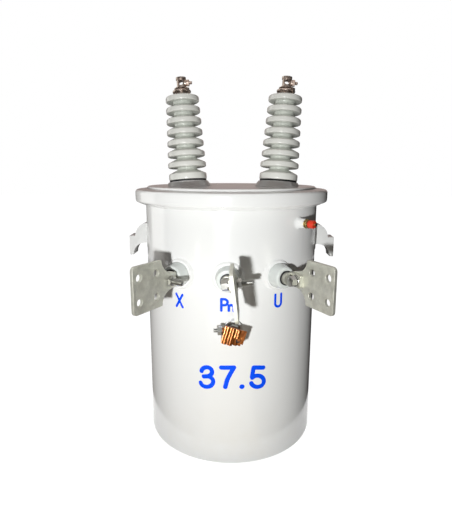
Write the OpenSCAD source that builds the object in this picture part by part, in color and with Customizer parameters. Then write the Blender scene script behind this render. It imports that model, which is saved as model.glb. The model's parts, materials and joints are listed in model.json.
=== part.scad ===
// Single-phase pole-type distribution transformer, in millimetres, +Z up.
// The tank's axis is the Z axis, the tank stands on z = 0 and the low-voltage terminals face -Y.

/* [Tank] */
// Outside diameter of the tank
tank_d = 394; // [360:1:460]
// Height of the tank, from the ground to the top of its rim
tank_h = 557; // [520:1:700]
// Thickness of the tank wall
wall_t = 3; // [2:0.5:5]
// Thickness of the bottom plate
bottom_t = 5; // [3:0.5:10]
// How far the clamped rim stands out from the wall
rim_out = 15.5; // [12:0.5:22]
// Gap left between pieces that seat on each other
fit = 0.1; // [0.05:0.05:0.2]

/* [Cover] */
// Thickness of the cover sheet
cover_t = 3; // [2:0.5:5]
// Height of the cover's deck above the gasket
cover_rise = 21; // [18:0.5:40]
// Distance from the tank wall in to the cover's upright edge
cover_inset = 3; // [1:0.5:6]
// Radius of the cover's top corner
cover_corner = 5; // [2:0.5:8]
// Thickness of the gasket between rim and cover
gasket_t = 5; // [3:0.5:8]

/* [Cover band] */
// Thickness of the band
band_t = 3; // [2:0.5:4]
// Height of the band's upright face
band_face_h = 18; // [16:0.5:24]
// Slope of the band's two legs
band_angle = 22; // [15:1:30]
// Space between the rim and the inside of the band
band_room = 4; // [2:0.5:8]
// Rounding of the band's corners
band_corner = 5; // [3:0.5:6]
// Width of the split at the back of the band
split_w = 22; // [14:1:40]
// How far the bolted ears stand out from the band
ear_out = 32; // [28:1:45]
// Height of the ears
ear_h = 26; // [20:1:28]
// Thickness of the ears
ear_t = 5; // [3:0.5:8]
// Diameter of the bolt that closes the band
band_bolt_d = 10; // [8:1:12]

/* [High-voltage bushings] */
// Distance between the two bushings
hv_spacing = 208; // [190:1:220]
// Shift of the pair of bushings to the right
hv_shift = 4; // [-6:0.5:6]
// Outward lean of each bushing
hv_tilt = 4; // [0:0.5:8]
// Backward lean of each bushing
hv_lean = 5; // [0:0.5:6]
// Height of the pressed boss under each bushing
hv_boss_h = 8.5; // [5:0.5:15]
// Diameter of the top of the boss
hv_boss_d = 91; // [90:1:100]
// Widening of the boss towards the deck
hv_boss_flare = 12; // [6:1:16]
// Thickness of the bushing gasket
hv_gasket_t = 3; // [2:0.5:5]
// Diameter of the porcelain base
hv_base_d = 87.5; // [84:0.5:90]
// Height of the porcelain base
hv_base_h = 20; // [16:1:24]
// Diameter of the porcelain between its sheds
hv_core_d = 45; // [40:1:50]
// Number of sheds
shed_count = 7; // [3:1:9]
// Distance between sheds
shed_pitch = 24.5; // [22:0.5:30]
// Diameter of the lowest shed
shed_d_low = 88; // [80:1:94]
// Diameter of the highest shed
shed_d_high = 76; // [70:1:94]
// Radius of the upper corner of a shed's rim
shed_rim_r = 4; // [2:0.5:4.5]
// Radius of the lower corner of a shed's rim
shed_lip_r = 2.5; // [1:0.5:4]
// Length of the porcelain inside the tank
hv_shank_l = 70; // [40:1:100]
// Diameter of the porcelain where it passes the cover
hv_shank_d = 42; // [36:1:46]
// Diameter of the metal cap on the porcelain
hv_cap_d = 42; // [38:1:46]
// Height of the metal cap
hv_cap_h = 12; // [10:0.5:16]
// Diameter of the cap's neck on the porcelain
hv_neck_d = 27; // [24:0.5:30]
// Height of the neck below the cap's turned-down rim
hv_neck_h = 3; // [2:0.5:5]
// Height of the cap's turned-down rim
hv_skirt_h = 5; // [3:0.5:6]
// Diameter of the terminal post
hv_post_d = 20; // [19:0.5:24]
// Height of the terminal post
hv_post_h = 25; // [22:0.5:32]
// Diameter of the eye that takes the line wire
hv_eye_d = 11; // [8:0.5:12]
// Diameter of the screw that clamps the wire
hv_screw_d = 7; // [5:0.5:7.5]
// Length of the clamp screw outside the post
hv_screw_out = 15; // [13:0.5:22]

/* [Low-voltage terminals] */
// Depth of the terminals below the tank's rim
lv_drop = 145; // [130:1:160]
// Angle between neighbouring terminals
lv_step = 30; // [28:1:40]
// Turn of the middle terminal about its stud
lv_middle_roll = 7; // [0:1:20]
// Diameter of the collar pressed out of the wall
lv_collar_d = 58; // [56:1:66]
// Widening of the collar towards the wall
lv_collar_flare = 8; // [2:1:12]
// How far the collar stands out from the wall
lv_collar_out = 4; // [3:0.5:8]
// Diameter of the bushing where it meets the collar
lv_base_d = 50; // [46:1:54]
// Diameter of the bushing's front face
lv_face_d = 44; // [40:1:46]
// Length of the bushing outside the collar
lv_body_l = 25; // [16:0.5:32]
// Diameter of the bushing where it passes the wall
lv_shank_d = 34; // [30:1:38]
// Length of the bushing inside the tank
lv_shank_l = 20; // [12:1:40]
// Diameter of the black seal round the stud
lv_seal_d = 29; // [27:0.5:34]
// Thickness of the seal
lv_seal_t = 3; // [2:0.5:6]
// Diameter of the stud
lv_stud_d = 24; // [20:0.5:25]
// Length of the stud's round part in front of the seal
lv_stud_out = 9; // [6:0.5:14]
// Length of the stud's flat tang past its round part
tang_l = 27; // [25:1:36]
// Height of the tang
tang_h = 25; // [24:1:30]
// Thickness of the tang
tang_t = 8; // [6:0.5:12]
// Distance from the stud's axis to the tang's face that carries the pad
tang_face = 12; // [8:0.5:14]

/* [Terminal pads] */
// Thickness of a pad
pad_t = 6.35; // [4:0.05:10]
// Height of a pad
pad_h = 88; // [80:1:100]
// Length of a pad's square part
pad_l = 75; // [72:1:90]
// Height of a pad's neck where it flares
neck_h = 34; // [30:1:40]
// Height of the neck's end at the stud
neck_end_h = 26; // [24:1:34]
// Length of the neck, from its end to where it flares
neck_l = 15; // [12:1:26]
// Space between the seal and the neck's end
neck_gap = 3; // [1:0.5:6]
// Rounding of a pad's corners
pad_corner = 8; // [3:0.5:14]
// Distance between the holes of a pad, both ways
hole_pitch = 44.45; // [40:0.05:48]
// Diameter of the holes of a pad
hole_d = 14.3; // [10:0.1:16]
// Distance from the pad's outer edge to the nearer holes
hole_edge = 15.5; // [14:0.5:18]
// Diameter of the bolt that holds a pad
pad_bolt_d = 12; // [10:1:14]
// Width of the bolt's head across flats
pad_bolt_af = 19; // [17:1:22]
// Width of the bolt's nut across flats
pad_nut_af = 17; // [16:0.5:19]
// Height of the bolt's head
pad_head_t = 12; // [8:0.5:14]
// Distance from the stud's round part to the bolt
pad_bolt_from_stud = 14; // [13:0.5:18]
// Length of the bolt past the pad
pad_bolt_out = 32; // [24:1:40]

/* [Ground connector] */
// Depth of the connector below the tank's rim
ground_drop = 247; // [235:1:280]
// Place of the connector round the tank, from the front
ground_az = 3.1; // [-8:0.1:8]
// Turn of the connector, clockwise from the front
ground_turn = 17; // [0:1:40]
// Diameter of the pad welded on the wall
ground_pad_d = 34; // [30:1:44]
// How far the pad stands out from the wall
ground_pad_out = 12; // [8:0.5:20]
// Diameter of the stud that carries the connector
ground_stud_d = 12; // [10:1:14]
// Width of the stud's nut across flats
ground_nut_af = 22; // [19:1:26]
// Thickness of the nut and its lock washer
ground_nut_t = 14; // [12:0.5:20]
// Width of the connector
ground_w = 42; // [40:1:54]
// Height of the connector
ground_h = 32; // [30:1:44]
// Depth of the connector behind its ridges
ground_t = 24; // [22:0.5:32]
// Slope of the connector's top, down to the tank
ground_slope = 22; // [10:1:24]
// Radius of the connector's rounded ridges
ridge_r = 4.8; // [4:0.1:5.4]
// Width of the flat cheek beside the ridges
cheek_w = 10; // [8:0.5:12]
// Diameter of the recess beside the cheek
cheek_hole_d = 10; // [6:0.5:11]
// Depth of the recess beside the cheek
cheek_hole_depth = 5; // [2:0.5:6]
// Diameter of the hole that takes the ground wire
ground_wire_d = 9; // [6:0.5:10]
// Distance from the connector's middle to that hole, to the left
ground_wire_off = 12; // [11.5:0.1:13]
// Diameter of the screw that presses on the wire
ground_bolt_d = 8; // [7:0.5:8.5]
// Diameter of the level boss that takes the screw
ground_boss_d = 12; // [11:0.5:12]
// Length of the screw outside its boss
ground_bolt_out = 17; // [12:0.5:26]
// Depth of the screw below the connector's top, at its middle
ground_bolt_drop = 11; // [10.5:0.5:13]
// Width of the screw's nut across flats
ground_bolt_af = 16; // [12:0.5:17]
// Thickness of the screw's nut
ground_bolt_nut_t = 9; // [6:0.5:10]

/* [Lifting lugs] */
// Depth of the lugs' top below the tank's rim
lug_drop = 61; // [50:1:80]
// Width of a lug
lug_w = 45; // [36:1:60]
// Thickness of a lug's plate
lug_t = 4.5; // [3:0.5:6]
// Radius of the lug's upper curve
lug_top_r = 28; // [24:1:32]
// Distance from the wall to the outside of the lug's lip
lug_out = 42.5; // [38:0.5:50]
// Thickness of the lip
lip_t = 8; // [6:0.5:8]
// Height of the lip
lip_h = 45; // [40:1:55]
// Radius of the rounded gap that takes the sling
sling_r = 29; // [20:1:30]

/* [Relief valve] */
// Depth of the relief valve below the tank's rim
relief_drop = 44; // [40:1:60]
// Place of the relief valve round the tank, from the front
relief_az = 46; // [40:1:54]
// Diameter of the coupling at the wall
relief_base_d = 28; // [24:1:36]
// Diameter of the coupling's end
relief_end_d = 20; // [19.5:0.5:24]
// Length of the coupling
relief_l = 17; // [14:0.5:24]
// Length of the coupling's curved foot
relief_foot_l = 11; // [8:0.5:12]
// Width of the brass hexagon across flats
relief_af = 17; // [14:0.5:18]
// Length of the brass hexagon
relief_hex_l = 8; // [6:0.5:12]
// Diameter of the coloured cap
relief_cap_d = 16.5; // [15:0.5:22]
// Length of the coloured cap
relief_cap_l = 12; // [8:0.5:16]
// Diameter of the brass tip
relief_tip_d = 6; // [4:0.5:8]
// Length of the tip in front of the cap
relief_tip_out = 5; // [3:0.5:10]

/* [Hangers] */
// Depth of the upper hanger's slot below the tank's rim
hanger_drop = 121; // [110:1:180]
// Distance between the slots of the two hangers
hanger_spacing = 285.75; // [260:0.25:300]
// Distance from the wall to the hangers' outer face
hanger_out = 65; // [50:1:80]
// Width of a hanger
hanger_w = 100; // [80:1:120]
// Height of a hanger
hanger_h = 80; // [70:1:100]
// Thickness of a hanger's plate
hanger_t = 6; // [4:0.5:10]
// Width of the slot for the pole bolt
slot_w = 21; // [16:0.5:24]
// Distance between the centres of the slot's two rounds
slot_l = 18; // [10:1:24]

/* [Core and coils] */
// Width of the laminated core
core_w = 280; // [240:1:284]
// Depth of the laminated core
core_depth = 170; // [140:1:172]
// Height of the laminated core
core_h = 350; // [300:1:360]
// Width of the core's outer legs and yokes
core_leg = 50; // [40:1:56]
// Width of the core's middle leg
core_middle = 80; // [60:1:90]
// Overhang of the coils in front of and behind the core
coil_out = 50; // [30:1:55]
// Space between the coils and the core's window
coil_gap = 3; // [1:0.5:6]

/* [Hidden] */
$fn = 96;

// Overlap that carries a cut clean through a face
cut = 1;
left = -1;
right = 1;
hex_fn = 6;
arc_steps = 6;

paint = "whitesmoke";
rubber = "black";
porcelain = "gainsboro";
tinned = "darkgray";
steel = "lightslategray";
copper = "peru";
brass = "goldenrod";
cap_red = "orangered";
core_steel = "dimgray";

tank_r = tank_d / 2;
inner_r = tank_r - wall_t;
rim_r = tank_r + rim_out;
gasket_top = tank_h + gasket_t;
deck_z = gasket_top + cover_rise;
cover_r = tank_r - cover_inset;
clamp_z = tank_h + gasket_t / 2;
band_r = rim_r + band_room + band_t;
ear_r = band_r + ear_out * 0.6;
band_nut_af = band_bolt_d * 1.6;
band_nut_t = band_bolt_d * 0.8;
band_bolt_spare = 10;
leg_gap = 2;
leg_r = tank_r + leg_gap;
hv_base_z = hv_boss_h + hv_gasket_t;
shed_first = 14;
shed_last = 13.5;
hv_body_h = hv_base_h + shed_first + (shed_count - 1) * shed_pitch + shed_last;
hv_cap_z = hv_base_z + hv_body_h;
hv_post_z = hv_cap_z + hv_cap_h;
hv_shank_r = hv_shank_d / 2;
hv_edge_r = 3;
cap_sheet_t = 3;
post_collar_h = 5;
post_collar_out = 1.5;
hv_nut_af = 13;
hv_nut_t = 6.5;
hv_washer_t = 2;
washer_dip = 2;

lv_z = tank_h - lv_drop;
collar_face = tank_r + lv_collar_out;
lv_face = collar_face + lv_body_l;
seal_face = lv_face + lv_seal_t;
stud_end = seal_face + lv_stud_out;
stud_inside = 12;
tang_start = seal_face + 1;
tang_end = stud_end + tang_l;
tang_back = tang_face - tang_t;
tang_round = 4;
pad_bolt_u = stud_end + pad_bolt_from_stud;
pad_start = seal_face + neck_gap;
pad_flare_r = (pad_h - neck_h) / 2;
pad_flare = pad_start + neck_l;
pad_end = pad_flare + pad_flare_r + pad_l;
pad_face_v = tang_face + pad_t;
washer_t = 2.5;
washer_ratio = 1.25;
washer_d = pad_bolt_af * washer_ratio;
lock_washer_d = pad_nut_af * 0.97;
nut_t = pad_bolt_d * 0.55;
bushing_nose = 4;
bushing_step = 5;

ground_z = tank_h - ground_drop;
ground_pad_face = tank_r + ground_pad_out;
ground_back = ground_pad_face + ground_nut_t;
ground_front = ground_back + ground_t;
ground_bolt_y = ground_h / 2 - ground_bolt_drop;
ground_seat = ground_w / 2 / cos(ground_turn) + ground_boss_d / 2 * tan(ground_turn);
ground_skin = 1.5;
ground_wire_u = ground_back + ground_wire_d / 2 + ground_skin;
tip_lean = ground_bolt_d / 2 * sin(ground_turn);
ground_tip = (ground_wire_off + ground_wire_d / 2 + tip_lean) / cos(ground_turn);
boss_l = ground_seat - ground_wire_off;
cheek_hole_x = ground_w / 2 - cheek_w - cut;
cheek_hole_y = -0.18 * ground_h;
ground_grip = 6;
ground_notch = 4;
lock_washer_t = 3;
ridge_pitch = (ground_w - cheek_w) / 3;

lug_top_z = tank_h - lug_drop;
lip_step = 2;
lip_top_z = lug_top_z - lug_top_r - lip_step;
lip_bottom_z = lip_top_z - lip_h;

relief_z = tank_h - relief_drop;
relief_end = tank_r + relief_l;
relief_hex_end = relief_end + relief_hex_l;
relief_neck_l = 2;
relief_neck_d = relief_cap_d - 4;
relief_cap_start = relief_hex_end + relief_neck_l;
relief_cap_end = relief_cap_start + relief_cap_l;

hanger_face = tank_r + hanger_out;
hanger_top_z = tank_h - hanger_drop;

// Points on an arc, from angle a to angle b
function arc(x, y, r, a, b) =
    [for (i = [0 : arc_steps]) let (t = a + (b - a) * i / arc_steps) [x + r * cos(t), y + r * sin(t)]];

// Half height of the band's outside and inside at a radius, from the middle of the clamped stack
function band_outside(r) = band_face_h / 2 + (band_r - r) * tan(band_angle);
function band_inside(r) = band_outside(r) - band_t / cos(band_angle);
function band_seat(r) = band_inside(r) - fit;

// Diameter of shed number i, counted from the lowest
function shed_r(i) = (shed_d_low + (shed_d_high - shed_d_low) * i / (shed_count - 1)) / 2;

// Places children at an angle round the tank: X to the viewer's right, Y up, Z straight out
module outward(az, z) {
    translate([0, 0, z]) rotate([0, 0, az]) rotate([90, 0, 0]) children();
}

// A flat plate in a terminal's frame: the outline's x runs outward, its y up, its thickness to the right
module side_plate(v, t) {
    translate([v + t, 0, 0]) rotate([0, -90, 0]) linear_extrude(t) children();
}

// A round bar along the viewer's right, from v for a length
module cross_bar(d, v, length) {
    translate([v, 0, 0]) rotate([0, 90, 0]) cylinder(d = d, h = length);
}

// A hexagon along the viewer's right, from v for a length
module cross_hex(af, v, length) {
    translate([v, 0, 0]) rotate([0, 90, 0]) cylinder(d = af / cos(30), h = length, $fn = hex_fn);
}

module tank_wall() {
    color(paint) difference() {
        union() {
            rotate_extrude() polygon([
                [inner_r, 0], [tank_r, 0],
                [tank_r, clamp_z - band_seat(tank_r)],
                [rim_r, clamp_z - band_seat(rim_r)],
                [rim_r, tank_h], [inner_r, tank_h]
            ]);
            for (az = [-lv_step, 0, lv_step]) outward(az, lv_z) lv_collar();
            outward(ground_az, ground_z) translate([0, 0, inner_r])
                cylinder(d = ground_pad_d, h = wall_t + ground_pad_out);
            outward(ground_az, ground_z) translate([0, 0, inner_r])
                cylinder(d = ground_stud_d, h = wall_t + ground_pad_out + ground_nut_t + ground_grip);
            outward(relief_az, relief_z) relief_coupling();
        }
        translate([0, 0, -cut]) cylinder(r = inner_r, h = tank_h + 2 * cut);
        for (az = [-lv_step, 0, lv_step]) outward(az, lv_z)
            cylinder(d = lv_shank_d + 2 * fit, h = collar_face + cut);
    }
}

// Collar of a low-voltage terminal: a low cone with a flat front
module lv_collar() {
    foot_r = (lv_collar_d + lv_collar_flare) / 2;
    rotate_extrude() polygon([
        [0, inner_r], [foot_r, inner_r], [foot_r, tank_r - wall_t / 2],
        [lv_collar_d / 2, collar_face], [0, collar_face]
    ]);
}

// Coupling that carries the relief valve, with a hollow-curved foot
module relief_coupling() {
    base_r = relief_base_d / 2;
    end_r = relief_end_d / 2;
    foot = base_r - end_r;
    rotate_extrude() polygon(concat(
        [[0, inner_r], [base_r, inner_r], [base_r, tank_r]],
        [for (p = arc(0, 0, 1, 270, 180)) [base_r + foot * p[0], tank_r + relief_foot_l * (1 + p[1])]],
        [[end_r, relief_end], [0, relief_end]]
    ));
}

module tank_bottom() {
    color(paint) cylinder(r = inner_r - fit, h = bottom_t);
}

// Places children on the cover's deck under a high-voltage bushing
module at_hv(side) {
    translate([hv_shift + side * hv_spacing / 2, 0, deck_z]) rotate([-hv_lean, side * hv_tilt, 0])
        children();
}

module cover() {
    boss_r = hv_boss_d / 2;
    boss_sink = 2 * cover_t;
    boss_h = hv_boss_h + boss_sink;
    slope = hv_boss_flare / 2 / hv_boss_h;
    color(paint) difference() {
        union() {
            rotate_extrude() polygon(concat(
                [[rim_r, gasket_top], [rim_r, clamp_z + band_seat(rim_r)],
                 [leg_r, clamp_z + band_seat(leg_r)], [cover_r, clamp_z + band_seat(leg_r)]],
                arc(cover_r - cover_corner, deck_z - cover_corner, cover_corner, 0, 90),
                [[0, deck_z], [0, deck_z - cover_t],
                 [cover_r - cover_t, deck_z - cover_t], [cover_r - cover_t, gasket_top]]
            ));
            for (side = [left, right]) at_hv(side) translate([0, 0, -boss_sink])
                cylinder(r1 = boss_r + slope * boss_h, r2 = boss_r, h = boss_h);
        }
        for (side = [left, right]) at_hv(side) translate([0, 0, -hv_shank_l])
            cylinder(r = hv_shank_r + fit, h = hv_shank_l + hv_boss_h + cut);
    }
}

module cover_gasket() {
    color(rubber) rotate_extrude()
        translate([inner_r, tank_h]) square([rim_r - inner_r - cut, gasket_t]);
}

module band_profile() {
    turn = 90 - band_angle;
    run = band_corner * tan(turn / 2);
    face_r = band_r - band_t;
    polygon(concat(
        [[leg_r, -band_outside(leg_r)]],
        arc(band_r - band_corner, run - band_face_h / 2, band_corner, -turn, 0),
        arc(band_r - band_corner, band_face_h / 2 - run, band_corner, 0, turn),
        [[leg_r, band_outside(leg_r)], [leg_r, band_inside(leg_r)],
         [face_r, band_inside(face_r)], [face_r, -band_inside(face_r)],
         [leg_r, -band_inside(leg_r)]]
    ));
}

module cover_band() {
    color(paint) translate([0, 0, clamp_z]) difference() {
        union() {
            rotate_extrude() band_profile();
            for (side = [left, right])
                translate([side * (split_w + ear_t) / 2 - ear_t / 2, band_r - band_t - cut, -ear_h / 2])
                    cube([ear_t, ear_out + band_t + cut, ear_h]);
        }
        translate([-split_w / 2, 0, -tank_h / 2]) cube([split_w, 2 * band_r, tank_h]);
        translate([0, ear_r, 0]) cross_bar(band_bolt_d + 2 * fit, -split_w, 2 * split_w);
    }
}

module band_bolt() {
    ear_face = split_w / 2 + ear_t;
    color(steel) translate([0, ear_r, clamp_z]) {
        cross_bar(band_bolt_d, -ear_face, 2 * ear_face + band_nut_t + band_bolt_spare);
        cross_hex(band_nut_af, -ear_face - band_nut_t, band_nut_t);
        cross_hex(band_nut_af, ear_face, band_nut_t);
    }
}

module hv_gasket(side) {
    color(rubber) at_hv(side) translate([0, 0, hv_boss_h]) difference() {
        cylinder(d = hv_base_d, h = hv_gasket_t);
        translate([0, 0, -cut]) cylinder(r = hv_shank_r + fit, h = hv_gasket_t + 2 * cut);
    }
}

// A shed's underside below its middle, its upper corner above it and the turn to its slope
shed_drop = 4.5;
shed_lift = 0.5;
shed_turn = 75;

// Half outline of one shed: a flat underside, an upright rim and a slope to the core above
function shed_outline(i) =
    let (
        z = hv_base_h + shed_first + i * shed_pitch,
        core_r = hv_core_d / 2,
        edge_r = shed_r(i) - shed_rim_r * (1 - cos(shed_turn)),
        edge_z = z + shed_lift + shed_rim_r * sin(shed_turn),
        slope_z = edge_z + (edge_r - core_r) / tan(shed_turn)
    )
    concat(
        [[core_r, z - shed_drop]],
        arc(shed_r(i) - shed_lip_r, z - shed_drop + shed_lip_r, shed_lip_r, -90, 0),
        arc(shed_r(i) - shed_rim_r, z + shed_lift, shed_rim_r, 0, shed_turn),
        i < shed_count - 1 ? [[core_r, min(slope_z, z + shed_pitch - shed_drop - cut)]] : []
    );

module hv_bushing(side) {
    base_r = hv_base_d / 2;
    color(porcelain) at_hv(side) translate([0, 0, hv_base_z]) rotate_extrude() polygon(concat(
        [[0, -hv_shank_l], [hv_shank_r, -hv_shank_l], [hv_shank_r, 0]],
        arc(base_r - hv_edge_r, hv_edge_r, hv_edge_r, -90, 0),
        arc(base_r - hv_edge_r, hv_base_h - hv_edge_r, hv_edge_r, 0, 90),
        [for (i = [0 : shed_count - 1]) each shed_outline(i)],
        [[hv_neck_d / 2, hv_body_h], [0, hv_body_h]]
    ));
}

// Domed cap with a turned-down rim, on a short neck
module hv_cap(side) {
    cap_r = hv_cap_d / 2;
    neck_r = hv_neck_d / 2;
    rim_z = hv_neck_h + hv_skirt_h;
    dome = hv_cap_h - rim_z;
    color(tinned) at_hv(side) translate([0, 0, hv_cap_z]) rotate_extrude() polygon(concat(
        [[0, 0], [neck_r, 0], [neck_r, rim_z - cap_sheet_t], [cap_r - cap_sheet_t, rim_z - cap_sheet_t],
         [cap_r - cap_sheet_t, hv_neck_h], [cap_r, hv_neck_h]],
        [for (p = arc(0, 0, 1, 0, dome_turn)) [cap_r * p[0], rim_z + dome * p[1] / sin(dome_turn)]],
        [[0, hv_cap_h]]
    ));
}
dome_turn = 60;

module hv_terminal(side) {
    post_r = hv_post_d / 2;
    color(tinned) at_hv(side) translate([0, 0, hv_post_z]) difference() {
        union() {
            cylinder(r = post_r, h = hv_post_h);
            for (z = [0, hv_post_h - post_collar_h]) translate([0, 0, z])
                cylinder(r = post_r + post_collar_out, h = post_collar_h);
        }
        translate([0, 0, hv_post_h / 2]) rotate([90, 0, 0]) translate([0, 0, -hv_post_d])
            cylinder(d = hv_eye_d, h = 2 * hv_post_d);
        translate([0, 0, hv_post_h / 2]) cross_bar(hv_screw_d + 2 * fit, 0, hv_post_d);
    }
}

module hv_clamp_screw(side) {
    seat = hv_post_d / 2;
    screw_start = hv_eye_d / 2 + fit;
    color(steel) at_hv(side) translate([0, 0, hv_post_z + hv_post_h / 2]) {
        cross_bar(hv_screw_d, screw_start, seat - screw_start + hv_screw_out);
        difference() {
            cross_bar(hv_post_h - 2 * post_collar_h - 2 * fit, seat - washer_dip, washer_dip + hv_washer_t);
            cylinder(d = hv_post_d + 2 * fit, h = hv_post_h, center = true);
        }
        cross_hex(hv_nut_af, seat + hv_washer_t, hv_nut_t);
    }
}

// Places children in the frame of low-voltage terminal i: -1 left, 0 middle, 1 right
module at_lv(i) {
    outward(i * lv_step, lv_z) rotate([0, 0, i == 0 ? lv_middle_roll : 0]) children();
}

module lv_bushing(i) {
    shank_r = lv_shank_d / 2;
    base_r = lv_base_d / 2;
    face_r = lv_face_d / 2;
    bore_r = lv_stud_d / 2 + fit;
    color(paint) at_lv(i) rotate_extrude() polygon(concat(
        [[bore_r, inner_r - lv_shank_l], [shank_r, inner_r - lv_shank_l], [shank_r, collar_face],
         [base_r, collar_face], [base_r, collar_face + bushing_step]],
        arc(face_r - bushing_nose, lv_face - bushing_nose, bushing_nose, 0, 90),
        [[bore_r, lv_face]]
    ));
}

module lv_seal(i) {
    color(rubber) at_lv(i) translate([0, 0, lv_face]) difference() {
        cylinder(d = lv_seal_d, h = lv_seal_t);
        translate([0, 0, -cut]) cylinder(d = lv_stud_d + 2 * fit, h = lv_seal_t + 2 * cut);
    }
}

module lv_stud(i) {
    inside = inner_r - lv_shank_l - stud_inside;
    half = tang_h / 2;
    color(tinned) at_lv(i) difference() {
        union() {
            translate([0, 0, inside]) cylinder(d = lv_stud_d, h = stud_end - inside);
            side_plate(tang_back, tang_t) polygon(concat(
                [[tang_start, -half]],
                arc(tang_end - tang_round, tang_round - half, tang_round, -90, 0),
                arc(tang_end - tang_round, half - tang_round, tang_round, 0, 90),
                [[tang_start, half]]
            ));
        }
        translate([0, 0, (tang_start + pad_end) / 2]) translate([tang_face + tang_t / 2, 0, 0])
            cube([tang_t, 2 * tang_h, pad_end - tang_start], center = true);
        translate([0, 0, pad_bolt_u]) cross_bar(pad_bolt_d + 2 * fit, tang_back - cut, tang_t + 2 * cut);
    }
}

module lv_pad(i) {
    half = pad_h / 2;
    neck = neck_end_h / 2;
    color(tinned) at_lv(i) side_plate(tang_face, pad_t) difference() {
        polygon(concat(
            [[pad_start, -neck]],
            arc(pad_flare, -half, pad_flare_r, 90, 0),
            arc(pad_end - pad_corner, pad_corner - half, pad_corner, -90, 0),
            arc(pad_end - pad_corner, half - pad_corner, pad_corner, 0, 90),
            arc(pad_flare, half, pad_flare_r, 0, -90),
            [[pad_start, neck]]
        ));
        for (u = [0, 1], w = [-0.5, 0.5]) translate([pad_end - hole_edge - u * hole_pitch, w * hole_pitch])
            circle(d = hole_d);
        translate([pad_bolt_u, 0]) circle(d = pad_bolt_d + 2 * fit);
    }
}

module lv_bolt(i) {
    head_v = tang_back - washer_t;
    color(steel) at_lv(i) translate([0, 0, pad_bolt_u]) {
        rotate([30, 0, 0]) cross_hex(pad_bolt_af, head_v - pad_head_t, pad_head_t + cut);
        cross_bar(washer_d, head_v, washer_t);
        cross_bar(pad_bolt_d, head_v - cut, cut + washer_t + tang_t + pad_t + pad_bolt_out);
    }
}

module lv_nut(i) {
    color(steel) at_lv(i) translate([0, 0, pad_bolt_u]) difference() {
        union() {
            cross_bar(lock_washer_d, pad_face_v, washer_t + cut);
            rotate([30, 0, 0]) cross_hex(pad_nut_af, pad_face_v + washer_t, nut_t);
        }
        cross_bar(pad_bolt_d + 2 * fit, pad_face_v - cut, washer_t + nut_t + 2 * cut);
    }
}

// Places children in the ground connector's own turned frame
module at_ground() {
    outward(ground_az, ground_z) rotate([0, 0, -ground_turn]) children();
}

// Places children on the connector's screw, which stays level when the connector is turned
module at_ground_bolt() {
    at_ground() translate([0, ground_bolt_y, ground_wire_u]) rotate([0, 0, ground_turn]) children();
}

module ground_nut() {
    color(steel) at_ground() difference() {
        union() {
            translate([0, 0, ground_pad_face]) cylinder(d = ground_nut_af * washer_ratio, h = lock_washer_t);
            translate([0, 0, ground_pad_face + lock_washer_t])
                cylinder(d = ground_nut_af / cos(30), h = ground_nut_t - lock_washer_t, $fn = hex_fn);
        }
        translate([0, 0, ground_pad_face - cut])
            cylinder(d = ground_stud_d + 2 * fit, h = ground_nut_t + 2 * cut);
    }
}

module ground_connector() {
    half_w = ground_w / 2;
    half_h = ground_h / 2;
    color(copper) difference() {
        union() {
            at_ground() {
                translate([-half_w, -half_h, ground_back]) cube([ground_w, ground_h, ground_t]);
                for (k = [0 : 2]) translate([-half_w + ridge_pitch * (k + 0.5), half_h, ground_front])
                    rotate([90, 0, 0]) cylinder(r = ridge_r, h = ground_h);
            }
            at_ground_bolt() cross_bar(ground_boss_d, -ground_seat, boss_l);
        }
        at_ground() {
            translate([0, 0, ground_back - cut])
                cylinder(d = ground_stud_d + 2 * fit, h = ground_grip + 2 * cut);
            translate([-half_w - cut, half_h, ground_front]) rotate([-ground_slope, 0, 0])
                translate([0, 0, -2 * ground_t]) cube([ground_w + 2 * cut, ground_h, 2 * ground_t]);
            translate([-ground_wire_off, half_h + cut, ground_wire_u]) rotate([90, 0, 0])
                cylinder(d = ground_wire_d, h = ground_h + 2 * cut);
            translate([cheek_hole_x, cheek_hole_y, ground_front - cheek_hole_depth])
                cylinder(d = cheek_hole_d, h = cheek_hole_depth + ridge_r + cut);
            translate([half_w - ground_notch, -half_h - cut, ground_back - cut])
                cube([ground_notch + cut, ground_notch + cut, ground_t + 2 * cut]);
        }
        at_ground_bolt() cross_bar(ground_bolt_d + 2 * fit, -ground_seat - cut, boss_l);
    }
}

module ground_bolt() {
    outer_end = ground_seat + ground_bolt_out;
    color(steel) at_ground_bolt() {
        cross_bar(ground_bolt_d, -outer_end, outer_end - ground_tip);
        cross_hex(ground_bolt_af, -ground_seat - ground_bolt_nut_t, ground_bolt_nut_t);
    }
}

// An upright outline, x outward and y up, given a width about its middle
module across(w) {
    rotate([90, 0, 0]) translate([0, 0, -w / 2]) linear_extrude(w) children();
}

// Side outline of a lifting lug: x is the distance from the tank's axis, y the height
module lug_outline() {
    lip_r = tank_r + lug_out;
    polygon(concat(
        [[tank_r - lug_t, lug_top_z]],
        arc(tank_r, lug_top_z - lug_top_r, lug_top_r, 90, 0),
        [[tank_r + lug_top_r, lip_top_z], [lip_r, lip_top_z], [lip_r, lip_bottom_z]],
        arc(lip_r - lip_t - sling_r, lip_bottom_z, sling_r, 0, 90),
        [[tank_r - lug_t, lip_bottom_z + sling_r]]
    ));
}

module lifting_lug(side) {
    color(paint) rotate([0, 0, side == left ? 180 : 0]) difference() {
        across(lug_w) lug_outline();
        across(lug_w - 2 * lug_t) lug_hollow();
        cylinder(r = tank_r + fit, h = tank_h);
    }
}

// The hollow inside a lug, open below and towards the tank
module lug_hollow() {
    polygon(concat(
        [[0, lug_top_z - lug_t]],
        arc(tank_r, lug_top_z - lug_top_r, lug_top_r - lug_t, 90, 0),
        [[tank_r + lug_top_r - lug_t, lip_bottom_z - cut], [0, lip_bottom_z - cut]]
    ));
}

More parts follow.
